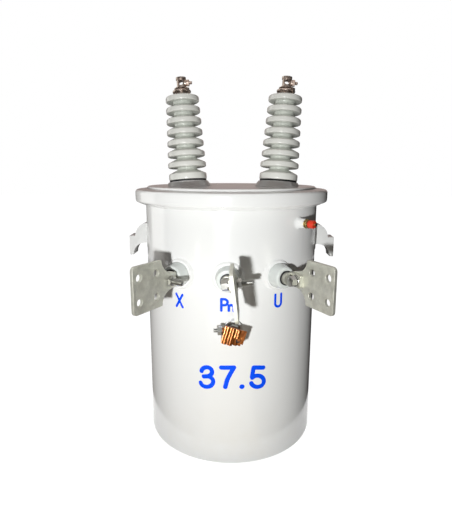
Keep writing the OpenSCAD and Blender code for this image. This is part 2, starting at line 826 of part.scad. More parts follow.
module relief_body() {
    color(brass) outward(relief_az, relief_z) {
        translate([0, 0, relief_end]) cylinder(d = relief_af / cos(30), h = relief_hex_l, $fn = hex_fn);
        translate([0, 0, relief_hex_end]) cylinder(d = relief_neck_d, h = relief_neck_l);
        translate([0, 0, relief_hex_end])
            cylinder(d = relief_tip_d, h = relief_cap_end + relief_tip_out - relief_hex_end);
    }
}

module relief_cap() {
    edge = 2;
    cap_r = relief_cap_d / 2;
    bore_r = relief_tip_d / 2 + fit;
    color(cap_red) outward(relief_az, relief_z) rotate_extrude() polygon(concat(
        [[bore_r, relief_cap_start], [cap_r, relief_cap_start]],
        arc(cap_r - edge, relief_cap_end - edge, edge, 0, 90),
        [[bore_r, relief_cap_end]]
    ));
}

module hanger(z) {
    half = hanger_w / 2;
    color(paint) translate([0, 0, z]) difference() {
        translate([-half, 0, -hanger_h / 2]) cube([hanger_w, hanger_face, hanger_h]);
        translate([hanger_t - half, -cut, -hanger_h / 2 - cut])
            cube([hanger_w - 2 * hanger_t, hanger_face - hanger_t + cut, hanger_h + 2 * cut]);
        translate([0, 0, -hanger_h]) cylinder(r = tank_r + fit, h = 2 * hanger_h);
        for (s = [-0.5, 0.5]) translate([0, hanger_face + cut, s * slot_l]) rotate([90, 0, 0])
            cylinder(d = slot_w, h = hanger_t + 2 * cut);
        translate([-slot_w / 2, hanger_face - hanger_t - cut, -slot_l / 2])
            cube([slot_w, hanger_t + 2 * cut, slot_l]);
    }
}

module core_and_coils() {
    window_w = (core_w - core_middle) / 2 - core_leg;
    window_h = core_h - 2 * core_leg;
    coil_w = core_middle + 2 * (window_w - coil_gap);
    coil_depth = core_depth + 2 * coil_out;
    coil_h = window_h - 2 * coil_gap;
    coil_corner = coil_out * 0.8;
    color(core_steel) translate([0, 0, bottom_t]) {
        difference() {
            translate([-core_w / 2, -core_depth / 2, 0]) cube([core_w, core_depth, core_h]);
            for (side = [left, right])
                translate([side * (core_middle + window_w) / 2 - window_w / 2, -core_depth, core_leg])
                    cube([window_w, 2 * core_depth, window_h]);
        }
        translate([0, 0, core_leg + coil_gap]) linear_extrude(coil_h) {
            square([coil_w, coil_depth - 2 * coil_corner], center = true);
            square([coil_w - 2 * coil_corner, coil_depth], center = true);
            for (x = [-1, 1], y = [-1, 1])
                translate([x * (coil_w / 2 - coil_corner), y * (coil_depth / 2 - coil_corner)])
                    circle(r = coil_corner);
        }
    }
}

tank_wall();
tank_bottom();
cover();
cover_gasket();
cover_band();
band_bolt();
hv_gasket(left);  // hv_gasket_left
hv_bushing(left);  // hv_bushing_left
hv_cap(left);  // hv_cap_left
hv_terminal(left);  // hv_terminal_left
hv_clamp_screw(left);  // hv_clamp_screw_left
hv_gasket(right);  // hv_gasket_right
hv_bushing(right);  // hv_bushing_right
hv_cap(right);  // hv_cap_right
hv_terminal(right);  // hv_terminal_right
hv_clamp_screw(right);  // hv_clamp_screw_right
lv_bushing(-1);  // lv_bushing_left
lv_seal(-1);  // lv_seal_left
lv_stud(-1);  // lv_stud_left
lv_pad(-1);  // lv_pad_left
lv_bolt(-1);  // lv_bolt_left
lv_nut(-1);  // lv_nut_left
lv_bushing(0);  // lv_bushing_middle
lv_seal(0);  // lv_seal_middle
lv_stud(0);  // lv_stud_middle
lv_pad(0);  // lv_pad_middle
lv_bolt(0);  // lv_bolt_middle
lv_nut(0);  // lv_nut_middle
lv_bushing(1);  // lv_bushing_right
lv_seal(1);  // lv_seal_right
lv_stud(1);  // lv_stud_right
lv_pad(1);  // lv_pad_right
lv_bolt(1);  // lv_bolt_right
lv_nut(1);  // lv_nut_right
ground_nut();
ground_connector();
ground_bolt();
lifting_lug(left);  // lifting_lug_left
lifting_lug(right);  // lifting_lug_right
relief_body();
relief_cap();
hanger(hanger_top_z - hanger_spacing);  // hanger_lower
hanger(hanger_top_z);  // hanger_upper
core_and_coils();
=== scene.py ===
"""Looks of a single-phase distribution transformer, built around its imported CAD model."""

import json
import math

import bmesh
import bpy
from bpy.props import FloatProperty, FloatVectorProperty, PointerProperty
from mathutils import Matrix, Vector

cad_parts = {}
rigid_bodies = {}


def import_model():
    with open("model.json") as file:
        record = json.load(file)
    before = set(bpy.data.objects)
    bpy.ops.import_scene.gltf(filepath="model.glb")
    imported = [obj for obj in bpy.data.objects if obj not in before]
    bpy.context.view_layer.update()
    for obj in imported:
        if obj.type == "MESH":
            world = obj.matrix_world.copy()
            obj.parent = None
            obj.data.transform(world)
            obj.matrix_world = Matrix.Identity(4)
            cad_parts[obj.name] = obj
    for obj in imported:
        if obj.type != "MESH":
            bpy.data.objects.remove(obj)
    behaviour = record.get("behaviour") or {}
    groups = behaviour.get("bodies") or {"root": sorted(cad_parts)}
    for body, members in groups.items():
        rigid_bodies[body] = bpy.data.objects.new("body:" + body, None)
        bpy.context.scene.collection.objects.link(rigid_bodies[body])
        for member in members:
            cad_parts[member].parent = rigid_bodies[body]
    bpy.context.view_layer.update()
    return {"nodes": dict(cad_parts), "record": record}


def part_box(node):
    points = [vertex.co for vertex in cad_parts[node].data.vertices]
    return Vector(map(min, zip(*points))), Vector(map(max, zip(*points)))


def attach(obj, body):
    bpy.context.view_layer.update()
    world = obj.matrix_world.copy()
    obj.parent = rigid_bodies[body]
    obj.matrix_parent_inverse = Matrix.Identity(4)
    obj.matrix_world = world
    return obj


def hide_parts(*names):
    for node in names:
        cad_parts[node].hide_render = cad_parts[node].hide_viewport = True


bl_info = {
    "name": "Distribution transformer",
    "version": (1, 0, 0),
    "blender": (4, 5, 0),
    "location": "View3D > Sidebar > Transformer",
    "description": "Dresses the packed transformer with fasteners, welds, marks, finishes and a stage",
    "category": "Object",
}

for startup_object in list(bpy.data.objects):
    bpy.data.objects.remove(startup_object)
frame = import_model()

MM = 0.001
BODY = "root"
UP = Vector((0, 0, 1))
FULL_TURN = 2 * math.pi
SIDES = ("left", "middle", "right")
HV_SIDES = {"left": -1, "right": 1}
MOUNTS = {mount["name"]: mount for mount in frame["record"]["mounts"]}
LV_HEIGHT = MOUNTS["lv_pad_left"]["pos_m"][2]
TANK_RADIUS = -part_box("tank_bottom")[0].x + 3.15 * MM


# Sizes and colours that a user would change

def length(name, description, default):
    """A length property, in metres."""
    return FloatProperty(name=name, description=description, default=default, unit="LENGTH", precision=5)


def colour(name, description, default):
    """A colour property, as linear red, green and blue."""
    return FloatVectorProperty(name=name, description=description, default=default, subtype="COLOR", size=3)


def angle(name, description, degrees):
    """An angle property, shown in degrees."""
    return FloatProperty(name=name, description=description, default=math.radians(degrees), subtype="ANGLE")


def amount(name, description, default, unit="NONE"):
    """A property that holds a plain number or a power."""
    return FloatProperty(name=name, description=description, default=default, unit=unit)


class TransformerSizes(bpy.types.PropertyGroup):
    """Sizes of the fasteners, welds and marks."""

    pad_bolt: length("Pad bolt", "Thread diameter of the terminal bolts", 0.012)
    pad_bolt_pitch: length("Pad bolt pitch", "Thread pitch of the terminal bolts", 0.00175)
    pad_bolt_flats: length("Pad bolt flats", "Size across flats of the terminal bolts", 0.019)
    pad_bolt_head: length("Pad bolt head", "Height of a terminal bolt's head", 0.012)
    pad_nut_flats: length("Pad nut flats", "Size across flats of the terminal nuts", 0.017)
    washer: length("Washer", "Thickness of the terminal washers", 0.0025)
    washer_width: length("Washer width", "Diameter of the flat terminal washers", 0.02375)
    lock_washer_width: length("Lock washer width", "Diameter of the split terminal washers", 0.0165)
    ground_screw: length("Ground screw", "Thread diameter of the ground clamp's screw", 0.008)
    ground_screw_pitch: length("Ground screw pitch", "Thread pitch of the ground clamp's screw", 0.00125)
    ground_screw_flats: length("Ground screw flats", "Size across flats of the ground screw's nut", 0.016)
    ground_screw_nut: length("Ground screw nut", "Height of the ground screw's nut", 0.009)
    ground_screw_out: length("Ground screw out", "Length of the ground screw outside the clamp", 0.017)
    ground_nut_flats: length("Ground nut flats", "Size across flats of the nut behind the clamp", 0.022)
    band_split: length("Band split", "Width of the cover band's split at the back", 0.022)
    band_bolt: length("Band bolt", "Thread diameter of the bolt that closes the band", 0.010)
    band_bolt_pitch: length("Band bolt pitch", "Thread pitch of the band's bolt", 0.0015)
    clamp_screw: length("Clamp screw", "Thread diameter of the high-voltage clamp screw", 0.007)
    clamp_screw_pitch: length("Clamp screw pitch", "Thread pitch of the high-voltage clamp screw", 0.001)
    clamp_nut_flats: length("Clamp nut flats", "Size across flats of the high-voltage clamp nut", 0.013)
    base_width: length("Base width", "Diameter of a high-voltage bushing's base", 0.0875)
    core_width: length("Core width", "Diameter of a high-voltage bushing's core", 0.045)
    shed_low: length("Lowest shed", "Diameter of a bushing's lowest shed", 0.088)
    shed_high: length("Highest shed", "Diameter of a bushing's highest shed", 0.076)
    shed_pitch: length("Shed pitch", "Height from one shed to the next", 0.0245)
    shed_rim: length("Shed rim", "Height of a shed's rim below its slope", 0.0115)
    shed_slope: angle("Shed slope", "Slope of a shed's upper side", 25.0)
    bushing_tilt: angle("Bushing tilt", "Outward lean of the high-voltage bushings", 4.0)
    bushing_lean: angle("Bushing lean", "Backward lean of the high-voltage bushings", 5.0)
    weld: length("Weld", "Half the width of a weld bead", 0.0032)
    number_stroke: length("Number stroke", "Width of the strokes of the painted number", 0.0095)
    letter_stroke: length("Letter stroke", "Width of the strokes of the painted letters", 0.0054)
    paint_film: length("Paint film", "How far the painted marks stand off the wall", 0.00025)


class TransformerColours(bpy.types.PropertyGroup):
    """Main colours of the finishes."""

    enamel: colour("Enamel", "Paint on the tank", (0.80, 0.81, 0.80))
    porcelain: colour("Porcelain", "Glaze of the high-voltage bushings", (0.82, 0.83, 0.78))
    resin: colour("Resin", "Glaze of the low-voltage bushings", (0.66, 0.70, 0.68))
    rubber: colour("Rubber", "Gaskets and seals", (0.012, 0.012, 0.013))
    tin: colour("Tin", "Tinned terminal pads", (0.63, 0.635, 0.56))
    bronze: colour("Bronze", "Tinned bronze high-voltage terminals", (0.62, 0.53, 0.47))
    zinc: colour("Zinc", "Zinc-plated fasteners", (0.44, 0.44, 0.415))
    copper: colour("Copper", "Ground clamp", (0.43, 0.155, 0.038))
    brass: colour("Brass", "Relief valve", (0.66, 0.52, 0.22))
    red: colour("Red", "Relief valve's cap", (0.76, 0.045, 0.016))
    blue: colour("Blue", "Painted marks", (0.0, 0.085, 0.98))
    iron: colour("Iron", "Core and coils", (0.10, 0.10, 0.11))


class TransformerStage(bpy.types.PropertyGroup):
    """Camera and lights."""

    camera_distance: length("Camera distance", "Level distance from the tank's axis", 1.0046)
    camera_height: length("Camera height", "Height of the lens above the floor", 0.619)
    camera_azimuth: angle("Camera azimuth", "How far the camera stands to the right of the front", 1.58)
    camera_pitch: angle("Camera pitch", "How far the camera looks down", 11.48)
    camera_yaw: angle("Camera yaw", "How far the camera looks to the left of the axis", 0.68)
    camera_roll: angle("Camera roll", "Roll of the camera", 0.12)
    camera_lens: amount("Lens", "Focal length in millimetres", 29.84)
    key_azimuth: angle("Key azimuth", "Where the key light stands, from the front", -7.6)
    key_height: length("Key height", "Height of the key light", 0.48)
    key_distance: length("Key distance", "Distance of the key light", 1.16)
    key_size: length("Key size", "Diameter of the key light", 0.05)
    key_power: amount("Key power", "Power of the key light", 10.3, "POWER")
    fill: amount("Fill", "Strength of the even light all round", 0.03)
    floor_light: amount("Floor light", "Strength of the floor's own light", 4.3)


# Shader expressions

class Wire:
    """A shader socket in a Python expression: each operator adds a Math node."""

    def __init__(self, bench, socket):
        self.bench = bench
        self.socket = socket

    def math(self, operation, first, second):
        return self.bench.node("ShaderNodeMath", {"operation": operation}, {0: first, 1: second})

    def __add__(self, other):
        return self.math("ADD", self, other)

    def __radd__(self, other):
        return self.math("ADD", other, self)

    def __rsub__(self, other):
        return self.math("SUBTRACT", other, self)

    def __mul__(self, other):
        return self.math("MULTIPLY", self, other)

    def __truediv__(self, other):
        return self.math("DIVIDE", self, other)

    def larger(self, other):
        return self.math("MAXIMUM", self, other)

    def clamped(self):
        return self.bench.node("ShaderNodeClamp", None, {"Value": self})


class Bench:
    """The node tree of one material or world."""

    def __init__(self, owner):
        owner.use_nodes = True
        self.tree = owner.node_tree
        self.tree.nodes.clear()

    def node(self, kind, settings=None, sockets=None, output=0):
        """Adds a node: its settings come first, then the values and links of its sockets."""
        made = self.tree.nodes.new(kind)
        for key, value in (settings or {}).items():
            setattr(made, key, value)
        for key, value in (sockets or {}).items():
            if isinstance(value, Wire):
                self.tree.links.new(value.socket, made.inputs[key])
            else:
                made.inputs[key].default_value = value
        return Wire(self, made.outputs[output]) if made.outputs else None

    def coordinates(self):
        return self.node("ShaderNodeTexCoord", output="Object")

    def noise(self, scale, detail=2.0, roughness=0.5):
        """Noise over the object, with its scale in waves per metre."""
        sockets = {"Vector": self.coordinates(), "Scale": scale, "Detail": detail, "Roughness": roughness}
        return self.node("ShaderNodeTexNoise", None, sockets)

    def patches(self, scale, detail, roughness, low, high):
        """Noise spread out between two levels: 0 below the lower one and 1 above the higher one."""
        spread = self.node("ShaderNodeValToRGB", None, {"Fac": self.noise(scale, detail, roughness)})
        for element, level in zip(spread.socket.node.color_ramp.elements, (low, high)):
            element.position = level
        return spread

    def mix(self, factor, first, second):
        """A colour between two colours."""
        return self.node("ShaderNodeMix", {"data_type": "RGBA"}, {0: factor, 6: first, 7: second}, output=2)

    def tones(self, factor, base, low, high):
        """A colour between a darker and a lighter tone of one colour property."""
        return self.mix(factor, shade(base, low), shade(base, high))

    def bump(self, height, strength, distance):
        sockets = {"Height": height, "Strength": strength, "Distance": distance}
        return self.node("ShaderNodeBump", None, sockets)

    def grain(self, scale, detail, strength, distance):
        """A bump from noise."""
        return self.bump(self.noise(scale, detail), strength, distance)

    def surface(self, sockets):
        """Closes a material with one Principled shader."""
        shader = self.node("ShaderNodeBsdfPrincipled", None, sockets)
        self.node("ShaderNodeOutputMaterial", None, {"Surface": shader})


def tinted(base, tint):
    """A colour property times a tint, as a socket takes it."""
    return (*(min(channel * part, 1.0) for channel, part in zip(base, tint)), 1.0)


def shade(base, factor):
    """A colour property made lighter or darker."""
    return tinted(base, (factor, factor, factor))


# Finishes

def enamel(bench, colours):
    """White baked enamel: faint orange peel, and patches of a warmer, darker tone near the foot."""
    foot_tone_height = 0.16
    height = bench.node("ShaderNodeSeparateXYZ", None, {0: bench.coordinates()}, output="Z")
    # Patches of a warmer, darker tone that fade out 0.16 m above the floor.
    foot = (1 - height / foot_tone_height).clamped()
    foot_tone = foot * bench.patches(30, 5, 0.6, 0.35, 0.75) * 0.35
    tone = bench.tones(bench.noise(6, 3), colours.enamel, 0.97, 1.03)
    bench.surface({
        "Base Color": bench.mix(foot_tone, tone, tinted(colours.enamel, (0.93, 0.89, 0.82))),
        "Roughness": 0.13 + bench.noise(40, 4) * 0.09,
        "Diffuse Roughness": 0.45,
        "Coat Weight": 0.25,
        "Coat Roughness": 0.06,
        "Normal": bench.grain(260, 2, 0.12, 0.0004),
    })


def porcelain(bench, colours):
    """Pale glaze with a soft bloom and fine dark specks; towards the core between the sheds it turns darker
    and a little greener, painted shade under the sheds together with the glaze's pooling.
    """
    specks = bench.patches(420, 2, 0.5, 0.70, 0.78) * 0.35
    # Painted shade: how deep a point lies between the sheds darkens the glaze there, and tints it greener
    # where the glaze pools.
    hollow_shade_and_pooling = bench.node("ShaderNodeAttribute", {"attribute_name": "hollow"}, output="Fac")
    tone = bench.tones(bench.noise(22, 4), colours.porcelain, 0.95, 1.06)
    glaze = bench.mix(hollow_shade_and_pooling, tone, tinted(colours.porcelain, (0.72, 0.745, 0.725)))
    bench.surface({
        "Base Color": bench.mix(specks, glaze, shade(colours.porcelain, 0.6)),
        "Roughness": 0.14 + bench.noise(60, 3) * 0.10,
        "Coat Weight": 0.6,
        "Coat Roughness": 0.05,
        "Normal": bench.grain(90, 3, 0.10, 0.0006),
    })


def resin(bench, colours):
    """Glossy pale low-voltage bushing with a faint ripple."""
    bench.surface({
        "Base Color": bench.tones(bench.noise(50, 3), colours.resin, 0.95, 1.06),
        "Roughness": 0.10 + bench.noise(80, 3) * 0.08,
        "Coat Weight": 0.5,
        "Coat Roughness": 0.04,
        "Normal": bench.grain(150, 2, 0.06, 0.0004),
    })


def rubber(bench, colours):
    """Dull black gasket rubber with a dusty bloom."""
    bloom = bench.patches(120, 5, 0.6, 0.4, 0.8)
    bench.surface({
        "Base Color": bench.tones(bloom, colours.rubber, 1.0, 2.6),
        "Roughness": 0.48 + bloom * 0.2,
        "Normal": bench.grain(900, 3, 0.2, 0.0003),
    })


def tin(bench, colours):
    """Dull tinned bar: mottled grey-green with dark pin specks and fine scuffs."""
    mottle = bench.patches(70, 6, 0.65, 0.3, 0.7)
    specks = bench.patches(700, 3, 0.5, 0.62, 0.72) * 0.45
    scuff_sockets = {"Vector": bench.coordinates(), "Scale": (60, 60, 900)}
    scuff_place = bench.node("ShaderNodeMapping", None, scuff_sockets)
    scuffs = bench.node("ShaderNodeTexNoise", None, {"Vector": scuff_place, "Scale": 1.0, "Detail": 3.0})
    tone = bench.tones(mottle, colours.tin, 0.80, 1.12)
    bench.surface({
        "Base Color": bench.mix(specks, tone, shade(colours.tin, 0.45)),
        "Metallic": 0.68,
        "Roughness": 0.46 + mottle * 0.12,
        "Normal": bench.bump(scuffs + mottle * 0.5, 0.10, 0.0003),
    })


def bronze(bench, colours):
    """Tinned bronze casting, brownish where the tin is thin."""
    mottle = bench.patches(180, 5, 0.6, 0.35, 0.7)
    thin = tinted(colours.bronze, (0.55, 0.50, 0.46))
    bench.surface({
        "Base Color": bench.mix(mottle, thin, shade(colours.bronze, 1.25)),
        "Metallic": 0.9,
        "Roughness": 0.30 + mottle * 0.15,
        "Normal": bench.grain(500, 4, 0.25, 0.0003),
    })


def zinc(bench, colours):
    """Zinc plate with soft cloudy patches."""
    cloud = bench.noise(140, 4)
    bench.surface({
        "Base Color": bench.tones(cloud, colours.zinc, 0.72, 1.15),
        "Metallic": 0.95,
        "Roughness": 0.26 + cloud * 0.12,
        "Normal": bench.grain(400, 2, 0.05, 0.0002),
    })


def copper(bench, colours):
    """Cast copper: bright where handled, brown where it has darkened."""
    patina = bench.patches(110, 6, 0.6, 0.38, 0.68)
    brown = tinted(colours.copper, (0.55, 0.45, 0.40))
    bright = tinted(colours.copper, (1.2, 1.15, 1.1))
    bench.surface({
        "Base Color": bench.mix(patina, brown, bright),
        "Metallic": 0.62,
        "Roughness": 0.21 - patina * 0.03,
        "Normal": bench.grain(600, 4, 0.05, 0.0003),
    })


def brass(bench, colours):
    """Turned brass with a slight tarnish."""
    tarnish = bench.noise(200, 4)
    dull = tinted(colours.brass, (0.62, 0.58, 0.5))
    bench.surface({
        "Base Color": bench.mix(tarnish, dull, shade(colours.brass, 1.2)),
        "Metallic": 1.0,
        "Roughness": 0.22 + tarnish * 0.14,
        "Normal": bench.grain(900, 2, 0.08, 0.0002),
    })


def red_plastic(bench, colours):
    """Moulded red cap."""
    cloud = bench.noise(300, 3)
    bench.surface({
        "Base Color": bench.tones(cloud, colours.red, 0.88, 1.06),
        "Roughness": 0.34 + cloud * 0.12,
        "Normal": bench.grain(1200, 2, 0.08, 0.0002),
    })


def blue_paint(bench, colours):
    """Blue stencil paint, a little thinner in places."""
    film = bench.noise(160, 4)
    bench.surface({
        "Base Color": bench.tones(film, colours.blue, 0.92, 1.0),
        "Roughness": 0.42 + film * 0.12,
        "Specular IOR Level": 0.15,
    })


def iron(bench, colours):
    """Dark core steel inside the tank."""
    bench.surface({
        "Base Color": bench.tones(bench.noise(40, 4), colours.iron, 0.7, 1.3),
        "Metallic": 0.6,
        "Roughness": 0.55,
    })


FINISHES = {
    "tank_paint": enamel,
    "grey_porcelain": porcelain,
    "white_resin": resin,
    "black_rubber": rubber,
    "tinned_metal": tin,
    "tinned_bronze": bronze,
    "zinc_steel": zinc,
    "ground_copper": copper,
    "valve_brass": brass,
    "cap_red": red_plastic,
    "mark_blue": blue_paint,
    "core_steel": iron,
}


def finish(name):
    """The named material, made the first time that it is asked for."""
    label = "finish_" + name
    if label not in bpy.data.materials:
        material = bpy.data.materials.new(label)
        FINISHES[name](Bench(material), bpy.context.scene.transformer_colours)
    return bpy.data.materials[label]


# Mesh making

class Piece:
    """One new piece: parts are merged and placed one by one, then closed as an object."""

    def __init__(self):
        self.mesh = bmesh.new()

    def add(self, part, place=Matrix()):
        """Joins a part's doubles, turns its faces outward, places it and takes it in."""
        bmesh.ops.remove_doubles(part, verts=part.verts, dist=1e-6)
        bmesh.ops.recalc_face_normals(part, faces=part.faces)
        bmesh.ops.transform(part, matrix=place, verts=part.verts)
        holder = bpy.data.meshes.new("part")
        part.to_mesh(holder)
        part.free()
        self.mesh.from_mesh(holder)
        bpy.data.meshes.remove(holder)

    def close(self, name, look, slot, replaced=(), smooth=35):
        data = bpy.data.meshes.new(name)
        self.mesh.to_mesh(data)
        self.mesh.free()
        data.shade_smooth()
        data.set_sharp_from_angle(angle=math.radians(smooth))
        data.materials.append(finish(look))
        made = bpy.data.objects.new(name, data)
        bpy.context.scene.collection.objects.link(made)
        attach(made, BODY)
        if replaced:
            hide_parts(*replaced)
        return made


def make(name, look, slot, replaced, parts, place=Matrix(), smooth=35):
    """Makes one piece from parts that share a place."""
    piece = Piece()
    for part in parts:
        piece.add(part, place)
    return piece.close(name, look, slot, replaced, smooth)


def axes(origin, along, side):
    """A place whose Z runs along one direction and whose X points to one side."""
    across = along.cross(side)
    place = Matrix((side, across, along)).transposed().to_4x4()
    place.translation = origin
    return place


def local_box(node, place):
    """Lowest and highest corner of a CAD node in a place's own axes."""
    inverse = place.inverted()
    points = [inverse @ vertex.co for vertex in frame["nodes"][node].data.vertices]
    low = Vector(min(point[i] for point in points) for i in range(3))
    high = Vector(max(point[i] for point in points) for i in range(3))
    return low, high


def arc(centre, radius, start, end, steps=6):
    """Points of an arc in degrees; the radius may be one number or one for each axis."""
    rx, ry = radius if isinstance(radius, tuple) else (radius, radius)
    turns = [math.radians(start + (end - start) * i / steps) for i in range(steps + 1)]
    return [(centre[0] + rx * math.cos(turn), centre[1] + ry * math.sin(turn)) for turn in turns]


def turned(outline, ring, angle, steps, rise=0.0):
    """Carries an outline of radius and height round Z, climbing at each step; a ring closes on itself."""
    part = bmesh.new()
    points = [part.verts.new((radius, 0, height)) for radius, height in outline]
    followers = points[1:] + points[:1] if ring else points[1:]
    edges = [part.edges.new(pair) for pair in zip(points, followers)]
    bmesh.ops.spin(part, geom=points + edges, axis=UP, cent=(0, 0, 0), dvec=UP * rise, angle=angle,
                   steps=steps, use_merge=angle == FULL_TURN and not rise)
    return part


def lathe(outline, steps=64, ring=False):
    """Turns an outline of radius and height all the way round Z."""
    part = turned(outline, ring, FULL_TURN, steps)
    bmesh.ops.remove_doubles(part, verts=part.verts, dist=1e-7)
    return part


def rod(radius, start, end, steps=64):
    """A plain round bar along Z."""
    return lathe([(0, start), (radius, start), (radius, end), (0, end)], steps)


def fill_ends(part):
    """Closes the open ends of a part that doesn't go all the way round."""
    bmesh.ops.holes_fill(part, edges=[edge for edge in part.edges if edge.is_boundary])
    return part


def washer(width, bore, start, thickness):
    """A flat washer with eased edges."""
    ease = thickness * 0.18
    low, high = start, start + thickness
    outline = [
        (bore / 2, low + ease), (bore / 2 + ease, low), (width / 2 - ease, low), (width / 2, low + ease),
        (width / 2, high - ease), (width / 2 - ease, high), (bore / 2 + ease, high), (bore / 2, high - ease),
    ]
    return lathe(outline, 48, ring=True)


def split_washer(width, bore, start, thickness):
    """A spring washer: a square wire with a cut, whose ends stand a little apart."""
    gap = math.radians(9)
    steps = 44
    rise = thickness * 0.30
    wire = thickness - rise
    ease = wire * 0.15
    outline = [
        (bore / 2, start), (width / 2 - ease, start), (width / 2, start + ease),
        (width / 2, start + wire - ease), (width / 2 - ease, start + wire), (bore / 2, start + wire),
    ]
    return fill_ends(turned(outline, True, FULL_TURN - gap, steps, rise / steps))


def hexagon(flats, start, end, bore=0.0):
    """A hexagon head or nut along Z, its corners turned off at both ends; one flat faces X."""
    face = flats * 0.475
    beyond = flats
    slope = math.tan(math.radians(30))
    outline = [(bore / 2, start), (face, start), (beyond, start), (beyond, end), (face, end), (bore / 2, end)]
    part = lathe(outline, 72, ring=bore > 0)
    middle = (start + end) / 2
    for vertex in part.verts:
        if math.hypot(vertex.co.x, vertex.co.y) > 0.9 * beyond:
            turn = math.atan2(vertex.co.y, vertex.co.x)
            radius = flats / 2 / math.cos((turn + math.pi / 6) % (math.pi / 3) - math.pi / 6)
            drop = (radius - face) * slope
            height = start + drop if vertex.co.z < middle else end - drop
            vertex.co = (radius * math.cos(turn), radius * math.sin(turn), height)
    return part


def thread(width, pitch, start, end):
    """A closed screw thread along Z, with its last turns tapered off."""
    turns = int((end - start) / pitch) - 1
    pitch = (end - start) / (turns + 1)
    outer = width / 2
    inner = outer - 0.58 * pitch
    crest = 0.14 * pitch
    steps = 24
    flank = start + pitch / 2
    outline = [(inner, start), (outer, flank - crest), (outer, flank + crest), (inner, start + pitch)]
    part = turned(outline, False, FULL_TURN * turns, steps * turns, pitch / steps)
    bmesh.ops.remove_doubles(part, verts=part.verts, dist=1e-6)
    middle = (start + end) / 2
    rims = [edge for edge in part.edges if edge.is_boundary]
    for height, low in ((start, True), (end, False)):
        rim = [edge for edge in rims if (edge.verts[0].co.z < middle) == low]
        fresh = bmesh.ops.extrude_edge_only(part, edges=rim)["geom"]
        ends = [item for item in fresh if isinstance(item, bmesh.types.BMVert)]
        bmesh.ops.pointmerge(part, verts=ends, merge_co=(0, 0, height))
    taper = 1.4 * pitch
    for vertex in part.verts:
        past = max(vertex.co.z - (end - taper), 0.0) / taper
        vertex.co.x *= 1 - 0.16 * past
        vertex.co.y *= 1 - 0.16 * past
    return part


def sweep(stations, sides):
    """Carries a round section through a list of places; each place's scale sets the section's size."""
    part = bmesh.new()
    bmesh.ops.create_circle(part, cap_ends=True, radius=1.0, segments=sides, matrix=stations[0])
    edges = list(part.edges)
    for here, there in zip(stations, stations[1:]):
        fresh = bmesh.ops.extrude_edge_only(part, edges=edges)["geom"]
        verts = [item for item in fresh if isinstance(item, bmesh.types.BMVert)]
        moved = set(verts)
        lines = [item for item in fresh if isinstance(item, bmesh.types.BMEdge)]
        edges = [line for line in lines if moved.issuperset(line.verts)]
        bmesh.ops.transform(part, matrix=there @ here.inverted(), verts=verts)
    bmesh.ops.holes_fill(part, edges=edges)
    return part


def station(point, tangent, out, width, height):
    """A place for sweep: X is the way out times a height, Y runs across times a half width."""
    tangent = tangent.normalized()
    across = tangent.cross(out).normalized()
    place = Matrix((out * height, across * width, tangent)).transposed().to_4x4()
    place.translation = point
    return place


def weld_bead(points, outs, radius):
    """A rippled bead along points 1 to 2 mm apart; outs point away from the seam."""
    stations = []
    last = len(points) - 1
    for i, (point, out) in enumerate(zip(points, outs)):
        tangent = points[min(i + 1, last)] - points[max(i - 1, 0)]
        ripple = 1 + 0.10 * math.sin(i * 2.1) + 0.05 * math.sin(i * 0.73 + 1.0)
        ending = min(1.0, 0.45 + 0.25 * min(i, last - i))
        half = radius * ripple * ending
        stations.append(station(point, tangent, out, half, 0.62 * half))
    return sweep(stations, 10)


def strap(path, width, thickness):
    """A bent strip: a path in X and Z, as wide as given along Y."""
    part = bmesh.new()
    points = [part.verts.new((x, -width / 2, z)) for x, z in path]
    edges = [part.edges.new(pair) for pair in zip(points, points[1:])]
    fresh = bmesh.ops.extrude_edge_only(part, edges=edges)["geom"]
    verts = [item for item in fresh if isinstance(item, bmesh.types.BMVert)]
    bmesh.ops.translate(part, vec=(0, width, 0), verts=verts)
    bmesh.ops.recalc_face_normals(part, faces=part.faces)
    bmesh.ops.solidify(part, geom=list(part.faces), thickness=thickness)
    return part


def rounded_copy(node, radius, segments=3, sharp=32):
    """A copy of a CAD node with its triangles merged into faces and its sharp edges rounded."""
    part = bmesh.new()
    part.from_mesh(frame["nodes"][node].data)
    bmesh.ops.remove_doubles(part, verts=part.verts, dist=1e-5)
    bmesh.ops.dissolve_limit(part, angle_limit=math.radians(0.6), verts=part.verts, edges=part.edges)
    limit = math.radians(sharp)
    edges = [edge for edge in part.edges if len(edge.link_faces) == 2 and edge.calc_face_angle() > limit]
    bmesh.ops.bevel(part, geom=edges, offset=radius, offset_type="OFFSET", affect="EDGES", segments=segments,
                    profile=0.5, material=-1, clamp_overlap=True)
    return part


# Places of the terminals and the clamp

def lv_place(side):
    """Axes of a low-voltage terminal: X to its viewer's right, Y up, Z out of the tank."""
    across = Vector(MOUNTS["lv_pad_" + side]["axis"]).normalized()
    out = across.cross(UP).normalized()
    place = Matrix((across, out.cross(across), out)).transposed().to_4x4()
    place.translation = (0, 0, LV_HEIGHT)
    return place


def hv_place(side):
    """Axes of a high-voltage terminal, with its eye at the origin and Z along the bushing."""
    sizes = bpy.context.scene.transformer_sizes
    outward = Matrix.Rotation(HV_SIDES[side] * sizes.bushing_tilt, 4, "Y")
    backward = Matrix.Rotation(-sizes.bushing_lean, 4, "X")
    return Matrix.Translation(MOUNTS["hv_eye_" + side]["pos_m"]) @ outward @ backward


def ground_place():
    """Axes of the ground clamp: Y along its wire, Z out of the tank."""
    low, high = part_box("ground_nut")
    upward = Vector(MOUNTS["ground_wire"]["axis"]).normalized()
    middle = (low + high) / 2
    out = Vector((middle.x, middle.y, 0)).normalized()
    place = Matrix((upward.cross(out), upward, out)).transposed().to_4x4()
    place.translation = (0, 0, middle.z)
    return place


